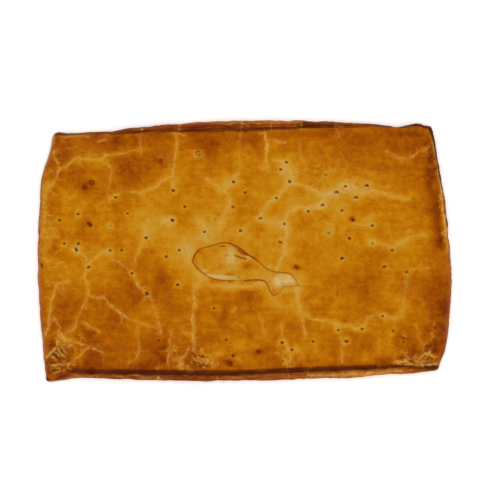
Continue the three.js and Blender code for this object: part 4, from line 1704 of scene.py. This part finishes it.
@dataclass
class Fish:
    """The flat dough fish that is baked onto the lid, with its marks in pixels of the photograph."""

    node: str = "fish"
    name: str = "dough_fish"
    finish: EggGlazedDough = EggGlazedDough("egg_glazed_fish_dough", cracked="#d0b478", scorched_and_shaded="#742406")
    plain_bake: float = 0.36
    sink: float = 0.9 * MM
    sunk_slope: float = -0.2
    rim_slope: float = -0.5
    rim_width: float = 0.8
    rim_strength: float = 0.55
    scorch_and_shade_share: float = 0.85
    scorch_and_shade_waves: tuple[Wave, ...] = (Wave(0.15, 7, 31),)
    toast: float = 0.6
    rim: tuple[Line, ...] = field(default=(), init=False)
    nudges: tuple[Nudge, ...] = (
        Nudge(247, 252, 7, 0.0, 1.6), Nudge(284, 288.5, 4, -0.5, -2.6), Nudge(279, 293, 3, 2.6, 2.2),
        Nudge(274.5, 297.5, 2.5, -0.4, -1.4),
    )
    rim_tones: tuple[Patch, ...] = (
        Patch(246, 252, 16, 9, 0.5), Patch(194, 256, 8, 8, 0.45), Patch(222, 244, 12, 5, 0.2),
        Patch(258, 281, 9, 4, 0.3), Patch(240, 281, 3, 3, -0.45), Patch(290, 288, 13, 6, -0.45),
        Patch(281, 291, 4, 4, -0.35), Patch(291, 277, 5, 6, -0.25), Patch(278, 272, 9, 4, -0.1),
    )
    lines: tuple[Line, ...] = (
        Line(((220.5, 246.2), (224.5, 246)), 1.0, 0.7),
        Line(((225.5, 255.3), (228.5, 255.2)), 0.6, 0.6),
        Line(((235.5, 255.5), (240, 257.5), (246, 258.8)), 0.85, 0.9),
        Line(((234.5, 246.6), (239.5, 249.6)), 1.1, 0.6),
        Line(((238.5, 250), (242, 252.4), (247.5, 254.4)), 1.5, 0.85),
        Line(((247, 254.4), (252, 257), (259, 262)), 0.9, 0.6),
        Line(((231, 244.6), (238, 247.6), (244, 251)), 0.8, 0.5),
        Line(((293, 276.8), (294.2, 278.4)), 0.7, 0.5),
        Line(((296.4, 281.4), (297, 282.6)), 0.6, 0.5),
        Line(((238, 276), (239, 277)), 0.9, 0.55),
        Line(((205, 265.5), (205.5, 266)), 0.7, 0.4),
    )
    patches: tuple[Patch, ...] = (
        Patch(230, 257, 6, 12, -0.2), Patch(222, 277, 14, 2.6, -0.3), Patch(230, 274.5, 4, 2.6, 0.25),
        Patch(247, 266, 6, 3.6, 0.48), Patch(212, 250, 9, 4, 0.12), Patch(221, 265, 5, 4, 0.14),
        Patch(205, 255, 8, 6, 0.05), Patch(216, 270, 8, 4, 0.08), Patch(243, 254, 5, 2, 0.12),
        Patch(274, 293, 3, 4, 0.16), Patch(199, 249, 6, 5, 0.16), Patch(197, 261, 4, 4, 0.12),
        Patch(256, 267, 6, 4, 0.1), Patch(275, 284, 6, 5, -0.14), Patch(201, 252, 4, 3, 0.14),
        Patch(206, 259, 3, 3, 0.12), Patch(205, 266, 3, 2.5, 0.14), Patch(226, 274.6, 7, 1.3, 0.25),
        Patch(231, 249, 5, 4, 0.08),
    )
    floury: tuple[Patch, ...] = (
        Patch(284, 279, 10, 5, 0.95), Patch(279, 284, 5, 4, 0.55), Patch(290, 281, 5, 4, 0.4),
        Patch(203, 270.5, 4, 1.5, 0.45), Patch(210, 275.3, 5, 1.4, 0.6), Patch(249, 257, 3, 2, 0.4),
        Patch(231, 256, 4, 9, 0.35), Patch(222, 277, 12, 2, 0.5),
    )

    def build(self) -> bpy.types.Object:
        """Shape the fish, press its underside into the lid and dress it.

        Returns:
            The finished piece.
        """
        piece = copy_of_node(self.node, self.name)
        nudge(piece, self.nudges)
        self.rim = self.rim_lines(piece)
        apply_modifier(piece, "SUBSURF", {"levels": 2, "render_levels": 2})
        points = read_rows(piece.data.vertices, "co")
        facing = read_rows(piece.data.vertices, "normal")[:, 2]
        points[facing < self.sunk_slope, 2] -= self.sink
        set_points(piece, points)
        self.mark(piece, points, facing)
        dress(piece, self.finish)
        return piece

    def rim_lines(self, piece: bpy.types.Object) -> tuple[Line, ...]:
        """Find the edge round the fish's underside, whose dark outline is partly burning and partly painted
        shade of the fish's step onto the lid.

        Args:
            piece: The copy of the solid, before it is rounded.

        Returns:
            A line for each step of the edge.
        """
        counts: dict[tuple[int, int], int] = {}
        for face in piece.data.polygons:
            if face.normal.z < self.rim_slope:
                for edge in face.edge_keys:
                    counts[edge] = counts.get(edge, 0) + 1
        marks = DoughMarks(PLAN.pixels(read_rows(piece.data.vertices, "co")))
        tones = np.clip(self.rim_strength + marks.patched(self.rim_tones), 0, 1)
        rim = []
        for start, end in (edge for edge, faces in counts.items() if faces == 1):
            path = (tuple(marks.places[start]), tuple(marks.places[end]))
            rim.append(Line(path, self.rim_width, float(tones[start])))
        return tuple(rim)

    def mark(self, piece: bpy.types.Object, points: np.ndarray, facing: np.ndarray) -> None:
        """Work out every mark and store what the finish reads.

        Args:
            piece: The fish.
            points: Its points, in metres.
            facing: How far up each point faces.
        """
        marks = DoughMarks(PLAN.pixels(points))
        marks.values[Mark.BAKE] = self.plain_bake + marks.patched(self.patches)
        # The rim is darkened as burning and as painted shade where the fish steps onto the lid; the other
        # lines are the fish's own dark marks
        marks.values[Mark.SCORCH_AND_SHADE] = marks.drawn(self.lines + self.rim)
        marks.values[Mark.SCORCH_AND_SHADE] *= self.scorch_and_shade_share + rippled(marks.places, self.scorch_and_shade_waves)
        marks.values[Mark.CRACK] = np.ones(len(points))
        marks.values[Mark.PALENESS] = marks.patched(self.floury)
        marks.values[Mark.FLAKE] = marks.patched(FLAKY)
        marks.values[Mark.GLAZE] = soft_step(facing, *BRUSHED_SLOPE)
        marks.values[Mark.DULL] = 1 - marks.values[Mark.GLAZE]
        marks.values[Mark.TOAST] = np.full(len(points), self.toast)
        marks.write(piece)


@dataclass
class Studio:
    """A pale floor, soft light from all sides under a dark ceiling and a camera that looks straight down."""

    floor_width: float = 30.0
    floor_colour: str = "#fdfdfd"
    floor_roughness: float = 0.9
    floor_glow: float = 0.1
    lens: float = 250.0
    sensor: float = 36.0
    lamp_height: float = math.radians(74)
    lamp_spread: float = math.radians(46)
    lamp_power: tuple[float, ...] = (0.87, 0.84, 0.8, 0.82)
    fill: float = 0.22
    wall_colour: str = "#ffffff"
    wall_top: Span = (0.25, 0.75)
    outline_height: float = 11 * MM

    def floor(self) -> bpy.types.Object:
        """Lay the floor under the pie.

        Returns:
            The floor.
        """
        bpy.ops.object.select_all(action="DESELECT")
        bpy.ops.mesh.primitive_plane_add(size=self.floor_width, location=(0, 0, 0))
        floor = bpy.context.object
        floor.name = "studio_floor"
        # Matt card has no gloss, and its faint glow keeps it white up to a thin contact shadow
        sheet = NodeSheet(bpy.data.materials.new("matt_white_card"))
        white = linear(self.floor_colour)
        surface = {
            "Base Color": white,
            "Roughness": self.floor_roughness,
            "Specular IOR Level": 0.0,
            "Emission Color": white,
            "Emission Strength": self.floor_glow,
        }
        shader = sheet.add("BsdfPrincipled", {}, surface)
        sheet.add("OutputMaterial", {}, {"Surface": shader})
        floor.data.materials.append(sheet.owner)
        return floor

    def lamps(self) -> None:
        """Light the pie softly from its four corners, without lamps that show in its gloss."""
        for n, power in enumerate(self.lamp_power):
            lamp = bpy.data.lights.new(f"soft_lamp_{n}", "SUN")
            lamp.energy = power
            lamp.angle = self.lamp_spread
            lamp.cycles.use_multiple_importance_sampling = False
            holder = bpy.data.objects.new(lamp.name, lamp)
            holder.rotation_euler = (math.pi / 2 - self.lamp_height, 0, math.pi / 4 + n * math.pi / 2)
            holder.visible_glossy = False
            bpy.context.scene.collection.objects.link(holder)

    def walls(self) -> None:
        """Put pale walls round the pie, which fill its shadows and show in its gloss."""
        sheet = NodeSheet(bpy.data.worlds.new("pale_walls"))
        way = sheet.add("TexCoord", {}, {}, "Generated")
        height = sheet.add("SeparateXYZ", {}, {0: way}, "Z")
        low, high = self.wall_top
        dimming = {"Value": height, "From Min": low, "From Max": high, "To Min": self.fill, "To Max": 0.0}
        glow = sheet.add("MapRange", {}, dimming)
        walls = sheet.add("Background", {}, {"Color": linear(self.wall_colour), "Strength": glow})
        sheet.add("OutputWorld", {}, {"Surface": walls})
        bpy.context.scene.world = sheet.owner

    def camera(self) -> None:
        """Look straight down on the pie from where the photograph was taken."""
        data = bpy.data.cameras.new("camera")
        data.lens = self.lens
        data.sensor_width = self.sensor
        holder = bpy.data.objects.new("camera", data)
        distance = PLAN.image * PLAN.pixel() * self.lens / self.sensor
        holder.location = (*PLAN.centre(), self.outline_height + distance)
        bpy.context.scene.collection.objects.link(holder)
        bpy.context.scene.camera = holder


def hand_over(piece: bpy.types.Object, node: str) -> None:
    """Let a finished piece ride on the pie's body in place of a node.

    Args:
        piece: The finished piece.
        node: The frame's node that it stands for.
    """
    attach(piece, BODY)
    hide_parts(node)
    log.info("%s: %d faces", piece.name, len(piece.data.polygons))


def main() -> None:
    """Build the studio and the pie."""
    logging.basicConfig(level=logging.INFO, format="%(message)s")
    bpy.context.scene.view_settings.view_transform = "Standard"
    studio = Studio()
    studio.camera()
    studio.lamps()
    studio.walls()
    studio.floor()
    fish = Fish()
    hand_over(fish.build(), fish.node)
    crust = Crust(fish_outline=fish.rim)
    hand_over(crust.build(), crust.node)


if __name__ == "__main__":
    main()
